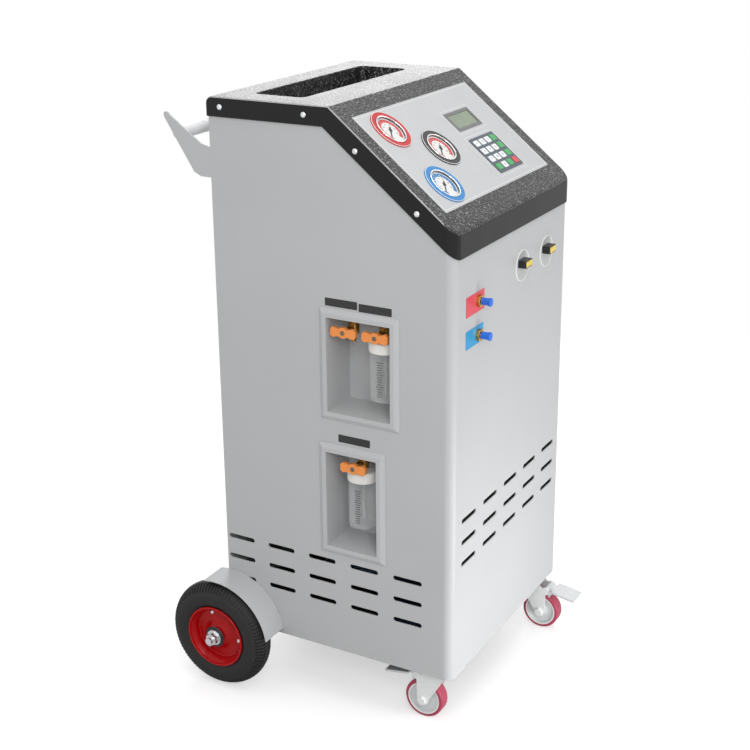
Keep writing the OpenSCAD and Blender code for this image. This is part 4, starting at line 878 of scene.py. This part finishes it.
# Oil bays: valves and marking plates stand at (depth, height)
VALVE_X = -SIDE + 40
VALVES = {"refill": (FRONT + 212, 726), "new_oil": (FRONT + 150, 726), "waste_oil": (FRONT + 196, 477)}
BOTTLES = ("new_oil", "waste_oil")
KNOB_OUT = -SIDE + 1
KNOB_SCREW = [(0, 0), (4, 0), (4, 0.8), *arc(3.2, 0.7, 0.8, 0, 90, 3), (0, 1.5)]
SCREW_SLOT = (1.0, 9, 2)
SLOT_UP = 0.8
TUBE_END = 150
LID_DROP = 12
LID_H = 20
LID_R = 29
LID_TOP = 3
LID_BORE = 25.3
LID_STEPS = 120
LID_UNDER = LID_H - LID_TOP
LID_RIB = 0.5
LID_RIB_ENDS = (3, 15)
LID_RIB_R = LID_R - 0.2
TUBE_HOLE = 3.02
LID = [(LID_BORE, 0), (LID_R - 0.6, 0), (LID_R, 0.8), (LID_R, LID_UNDER - 0.5),
       *arc(LID_R - LID_TOP, LID_UNDER, LID_TOP, 0, 90, 4), (TUBE_HOLE, LID_H), (TUBE_HOLE, LID_UNDER),
       (LID_BORE, LID_UNDER)]
GRADUATIONS = 15
SHORT_GRADUATION = (0.5, 9, 1.3)
LONG_GRADUATION = (0.5, 13, 1.3)
GRADUATION_PITCH = 4.4
GRADUATION_DROP = 15
GRADUATION_OUT = 27.3
GRADUATION_ASIDE = 3
BAY_PLATE = (63, 14, 0.6)
BAY_PLATES_AT = ((FRONT + 213, 779), (FRONT + 147, 777), (FRONT + 191, 532))


def lid_rib(corners, y, low):
    """True for the upright strips of a lid's wall that stand up as grip ribs."""
    middle = sum(corners, Vector()) / len(corners)
    u, v = middle.x - VALVE_X, middle.y - y
    first, last = LID_RIB_ENDS
    on_wall = low + first < middle.z < low + last and math.hypot(u, v) > LID_RIB_R
    return on_wall and every_other(u, v, LID_STEPS)


def oil_bays():
    """Valves, lids, bottles with their graduations, butterfly knobs with slotted screws, marking plates."""
    valves = rounded("oil_valves", "valve_bodies", "machine", "valve_brass", BRASS, 0.3)
    for y, z in (VALVES[name] for name in BOTTLES):
        paint(valves, TUBE,
              lambda c, n: abs(c.y - y) < LID_R and z - TUBE_END < c.z < z - LID_DROP - LID_H / 2)
    lids = []
    for name in BOTTLES:
        y, z = VALVES[name]
        low = z - LID_DROP - LID_H
        lid = turned(LID, at(VALVE_X, y, low), steps=LID_STEPS)
        raise_faces(lid, LID_RIB, lambda corners: lid_rib(corners, y, low))
        lids.append(lid)
        body = f"{name}_bottle_body"
        rounded(f"{name}_bottle", f"{name}_bottle_shell", body, "bottle_clear", CLEAR, 0)
        marks = []
        for i in range(GRADUATIONS):
            height = low - GRADUATION_DROP - GRADUATION_PITCH * i
            spot = at(VALVE_X - GRADUATION_OUT, y - GRADUATION_ASIDE, height)
            marks.append(plate(SHORT_GRADUATION if i % 5 else LONG_GRADUATION, spot))
        piece(joined(marks), f"{name}_bottle_marks", body, "lid_plastic", INK_GREY)
    piece(joined(lids), "bottle_screw_lids", "machine", "lid_plastic", LID_WHITE, "bottle_lids")
    for name, (y, z) in VALVES.items():
        body = f"{name}_knob_body"
        rounded(f"{name}_knob", f"{name}_butterfly", body, "knob_orange", ORANGE, 1.6, steps=3)
        head = turned(KNOB_SCREW, at(KNOB_OUT, y, z, (-1, 0, 0)), steps=40)
        combine(head, plate(SCREW_SLOT, on_left(y, z, -SIDE - KNOB_OUT + SLOT_UP)), "DIFFERENCE")
        piece(head, f"{name}_knob_screw", body, "zinc_steel", DARK_STEEL)
    plates = [plate(BAY_PLATE, on_left(*spot), corner=1, edge=0.2) for spot in BAY_PLATES_AT]
    piece(joined(plates), "bay_marking_plates", "machine", "needle_black", PLATE_BLACK)


# Front fittings: places are (sideways, height)
PORT_X = -150
PORTS = {"high": 791, "low": 731}
PORT_PLATES = {"high": ((70, 35, 0.8), (-162, 789.5), "gauge_red", PLATE_RED),
               "low": ((67, 32, 0.8), (-163.5, 732), "gauge_blue", PLATE_BLUE)}
CAP_OUT = 8
CAP = [(5.06, 0), (6.3, 0), (6.5, 11.5), (7.4, 13), *arc(6.6, 15.6, 0.9, 0, 90, 3), (0, 17), (0, 14.3),
       (5.06, 14.3)]
BUTTONS = {"left": 27, "right": 135}
BUTTON_Z = 812
BUTTON_BLOCK = (28, 14, 15)
BUTTON_BORE = (24.6, 10.6, 30)
BUTTON_LENS = (24, 10, 21.4)
BUTTON_DEEP = 5
RING_ASIDE = 4
RING_Z = 806
RING = [(27.2, 0), (28.8, 0), (28.8, 1), (28.5, 1.4), (27.5, 1.4), (27.2, 1)]


def front_fittings():
    """Service ports with plates and dust caps, and the two push buttons in their rings."""
    rounded("port_fittings", "port_stubs", "machine", "valve_brass", BRASS, 0.5)
    for name, z in PORTS.items():
        cap = turned(CAP, at(PORT_X, FRONT - CAP_OUT, z, (0, -1, 0)), steps=56)
        piece(cap, f"{name}_dust_cap", f"{name}_cap_body", "cap_blue", CAP_BLUE, f"{name}_port_cap")
    for name, (size, spot, slot, finish) in PORT_PLATES.items():
        tag = plate(size, on_front(*spot), corner=1, edge=0.3)
        piece(tag, f"{name}_port_plate", "machine", slot, finish)
    blocks, rings = [], []
    for x in BUTTONS.values():
        block = plate(BUTTON_BLOCK, on_front(x, BUTTON_Z), corner=1.5, edge=0.6)
        combine(block, plate(BUTTON_BORE, on_front(x, BUTTON_Z, -BUTTON_DEEP), corner=0.6), "DIFFERENCE")
        blocks.append(block)
        rings.append(turned(RING, on_front(x + RING_ASIDE, RING_Z)))
    piece(joined(blocks), "button_blocks", "machine", "black_plastic", BLACK_ABS, "button_housings")
    piece(joined(rings), "button_rings", "machine", "lid_plastic", LID_WHITE)
    for side, x in BUTTONS.items():
        lens = plate(BUTTON_LENS, on_front(x, BUTTON_Z, -BUTTON_DEEP), corner=1, edge=1.2)
        piece(lens, f"{side}_button_lens", f"{side}_button_body", "button_yellow", YELLOW, f"{side}_button")


# Wheels: outlines are (radius, distance outwards from the wheel's middle plane)
WHEEL_X = SIDE + 41
AXLE = (REAR - 8, 104)
TYRE_R = 104
TYRE_TUBE = 27
TYRE_STEPS = 176
TYRE_RIB = 1.6
TYRE_RIB_SPAN = (9, 23)
TYRE = [*arc(TYRE_R - TYRE_TUBE, 0, TYRE_TUBE, -156, 156, 52), (52.2, 10), (52.2, -10)]
RIM_WEB = [(17, 17), (20, 15.5), (26, 10), (31, 7.6), (36, 6.8), (47, 6.8), (49.5, 8.5), (49.5, 6.2),
           (47.5, 4.6), (36, 4.6), (30, 5.2), (24.5, 8), (17, 14)]
RIM_FLANK = [(48.6, 9), (50, 13), (53, 18), (56, 22), *arc(58.6, 24, 2.2, 200, -70, 9), (57.6, 21.6),
             (54.5, 17), (51.6, 12.4), (50.3, 9)]
RIM_BARREL = [*RIM_FLANK, *[(r, -h) for r, h in reversed(RIM_FLANK)]]
RIM_HUB = [(7.06, -25), (14, -25), (15, -24), (17, -6), (17, 8), (15, 24), (14, 25), (7.06, 25)]
HUB_COLLAR = [(14.2, 24.1), (20, 23.2), (20.5, 24), (20, 24.8), (14.2, 25)]
BOLT = [(0, 0), (4.6, 0), (4.6, 1.2), (4, 2.6), (2.6, 3.6), (0, 4)]
BOLT_RING = 43
BOLT_OUT = 6.6
BOLT_ANGLES = (-8, 112, 232)
CASTER_LIP = [(29.4, -12.7), (31.2, -12.7), (31.2, 12.7), (29.4, 12.7)]


def shoulder_rib(corners):
    """True for the faces of a tyre's shoulders that stand up as cross ribs."""
    middle = sum(corners, Vector()) / len(corners)
    y, z = middle.y - AXLE[0], middle.z - AXLE[1]
    inner, outer = TYRE_RIB_SPAN
    on_shoulder = inner < abs(abs(middle.x) - WHEEL_X) < outer and math.hypot(y, z) > TYRE_R - TYRE_TUBE
    return on_shoulder and every_other(y, z, TYRE_STEPS)


def rear_wheel(side, sign):
    """Ribbed tyre on a dished, pressed rim with rolled lips and clamping bolts."""
    place = at(sign * WHEEL_X, *AXLE, (sign, 0, 0))
    body = f"{side}_wheel"
    tyre = turned(TYRE, place, steps=TYRE_STEPS)
    raise_faces(tyre, TYRE_RIB, shoulder_rib)
    piece(tyre, f"{side}_ribbed_tyre", body, "tyre_rubber", RUBBER, f"{side}_tyre")
    rim = joined([turned(RIM_WEB, place), turned(RIM_BARREL, place), turned(RIM_HUB, place, steps=64)])
    piece(rim, f"{side}_pressed_rim", body, "rim_red", RIM_RED, f"{side}_rim")
    piece(turned(HUB_COLLAR, place, steps=64), f"{side}_hub_collar", body, "black_plastic", BLACK_ABS)
    places = []
    for a in map(math.radians, BOLT_ANGLES):
        places.append(place @ shift(BOLT_RING * math.cos(a), BOLT_RING * math.sin(a), BOLT_OUT))
    bolts = copies(turned(BOLT, Matrix.Identity(4), steps=28), places)
    piece(bolts, f"{side}_rim_bolts", body, "zinc_steel", ZINC)


def caster(side):
    """Swivel caster: plated fork and pedal, grey core with a white lip, soft tread."""
    wheel = f"{side}_caster_wheel"
    tread = f"{side}_caster_tread"
    # The fork's passivated zinc carries painted light: it is lighter than the pedal's zinc
    rounded(f"{side}_caster_fork", f"{side}_caster_yoke", f"{side}_caster", "zinc_steel", PAINTED_LIGHT_ZINC, 0.6)
    rounded(f"{side}_caster_brake", f"{side}_brake_pedal", f"{side}_brake", "zinc_steel", DULL_ZINC, 0.7)
    rounded(f"{side}_caster_core", f"{side}_caster_hub", wheel, "core_grey", CORE, 0.7)
    rounded(tread, f"{side}_caster_tyre", wheel, "tread_pink", TREAD, 0)
    low, high = (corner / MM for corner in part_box(tread))
    lip = turned(CASTER_LIP, at(*(low + high) / 2, (1, 0, 0)), steps=72)
    piece(lip, f"{side}_caster_lip", wheel, "lid_plastic", LID_WHITE)


def running_gear():
    """Rear wheels on their axle with its nuts, and the two casters under their top plates."""
    rear_wheel("left", -1)
    rear_wheel("right", 1)
    rounded("rear_axle", "axle_rod", "machine", "zinc_steel", ZINC, 0.6)
    rounded("axle_nuts", "axle_hex_nuts", "machine", "zinc_steel", ZINC, 0.7)
    rounded("caster_plates", "caster_top_plates", "machine", "zinc_steel", DULL_ZINC, 0.5)
    caster("left")
    caster("right")


cabinet()
hood()
handle()
rounded("casing_screws", "casing_screw_heads", "machine", "zinc_steel", ZINC, 0.4)
for gauge_name in GAUGES:
    gauge(gauge_name)
gauge_fronts()
control_panel()
oil_bays()
front_fittings()
running_gear()
rounded("power_inlet", "mains_inlet", "machine", "black_plastic", BLACK_ABS, 0.4)
rounded("power_rocker", "rocker_cap", "rocker_body", "rocker_red", ROCKER, 0.5)


# Stage and light, in metres and watts: each lamp has its place, its target, its width and its power
FLOOR_R = 6
FLOOR_FADE = (0.8, 2.4)
FLOOR_GLOW = 0.48
SURROUND_FILL = 0.56
LAMPS = {
    "front_box": ((0.9, -3.0, 1.3), (0, 0, 0.9), 2.0, 7),
    "low_box": ((-0.15, -0.95, 0.08), (-0.15, -0.25, 0.1), 0.3, 5),
    "side_box": ((-2.4, -1.6, 2.1), (0, 0, 0.9), 1.2, 36),
    "top_box": ((0.0, -0.3, 4.2), (0, 0, 0.6), 2.6, 36),
    "back_box": ((2.6, 1.5, 2.0), (0, 0, 1.0), 1.6, 29),
    "right_spot": ((2.4, -0.7, 2.6), (0, -0.2, 1.0), 0.4, 4),
    "key_spot": ((-1.7, -1.3, 3.4), (0, 0, 0.9), 0.3, 9),
}

# Camera solved from the cabinet's edges: eye, line of sight, roll, focal length and shift
EYE = (-2202.88, FRONT - 958.75, 1502.41)
SIGHT = (0.827459, 0.466285, -0.312873)
ROLL = math.radians(-0.513)
SENSOR = 36
FOCAL = 68.169
SHIFT_UP = -0.07333
FARTHEST_M = 100


def paper_floor():
    """White paper floor that keeps the shadow and fades out before its rim, with a faint glow for the eye."""
    bpy.ops.object.select_all(action="DESELECT")
    bpy.ops.mesh.primitive_circle_add(vertices=96, radius=FLOOR_R, fill_type="NGON")
    floor = bpy.context.object
    floor.name = "studio_floor"
    paper = surface("white paper floor", "#d2d2d2", Roughness=0.9)
    tree = paper.node_tree
    shader = tree.nodes["Principled BSDF"]
    place = add(tree, "ShaderNodeTexCoord")
    reach = add(tree, "ShaderNodeVectorMath", {0: place.outputs["Object"]}, operation="LENGTH")
    near, far = FLOOR_FADE
    fade = add(tree, "ShaderNodeMapRange",
               {"Value": reach.outputs["Value"], "From Min": near, "From Max": far},
               interpolation_type="SMOOTHSTEP")
    ray = add(tree, "ShaderNodeLightPath")
    glow = add(tree, "ShaderNodeMath", {0: ray.outputs["Is Camera Ray"], 1: FLOOR_GLOW},
               operation="MULTIPLY")
    shader.inputs["Emission Color"].default_value = linear("#ffffff")
    tree.links.new(glow.outputs["Value"], shader.inputs["Emission Strength"])
    clear = add(tree, "ShaderNodeBsdfTransparent")
    mix = add(tree, "ShaderNodeMixShader",
              {0: fade.outputs["Result"], 1: shader.outputs["BSDF"], 2: clear.outputs["BSDF"]})
    tree.links.new(mix.outputs["Shader"], tree.nodes["Material Output"].inputs["Surface"])
    floor.data.materials.append(paper)


def surround():
    """White surround at full strength for camera, mirror and see-through rays, and weaker as fill light."""
    world = bpy.data.worlds.new("white surround")
    bpy.context.scene.world = world
    world.use_nodes = True
    tree = world.node_tree
    back = tree.nodes["Background"]
    back.inputs["Color"].default_value = linear("#ffffff")
    ray = add(tree, "ShaderNodeLightPath")
    seen = add(tree, "ShaderNodeMath", {0: ray.outputs["Is Camera Ray"], 1: ray.outputs["Is Glossy Ray"]},
               operation="MAXIMUM")
    through = add(tree, "ShaderNodeMath", {0: seen.outputs["Value"], 1: ray.outputs["Is Transmission Ray"]},
                  operation="MAXIMUM")
    strength = add(tree, "ShaderNodeMapRange",
                   {"Value": through.outputs["Value"], "To Min": SURROUND_FILL, "To Max": 1.0})
    tree.links.new(strength.outputs["Result"], back.inputs["Strength"])


def lamp(name, where, target, size, power):
    """Soft box aimed at a point."""
    data = bpy.data.lights.new(name, "AREA")
    data.size = size
    data.energy = power
    obj = bpy.data.objects.new(name, data)
    obj.location = where
    obj.rotation_mode = "QUATERNION"
    obj.rotation_quaternion = (Vector(target) - Vector(where)).to_track_quat("-Z", "Y")
    bpy.context.scene.collection.objects.link(obj)


def camera():
    """Camera at the photo's own view."""
    data = bpy.data.cameras.new("product_view")
    obj = bpy.data.objects.new("product_view", data)
    bpy.context.scene.collection.objects.link(obj)
    obj.location = Vector(EYE) * MM
    obj.rotation_mode = "QUATERNION"
    obj.rotation_quaternion = Vector(SIGHT).to_track_quat("-Z", "Y") @ Quaternion((0, 0, 1), ROLL)
    data.sensor_width = SENSOR
    data.lens = FOCAL
    data.shift_y = SHIFT_UP
    data.clip_end = FARTHEST_M
    bpy.context.scene.camera = obj


paper_floor()
surround()
for lamp_name, settings in LAMPS.items():
    lamp(lamp_name, *settings)
camera()
bpy.context.scene.view_settings.view_transform = "Standard"
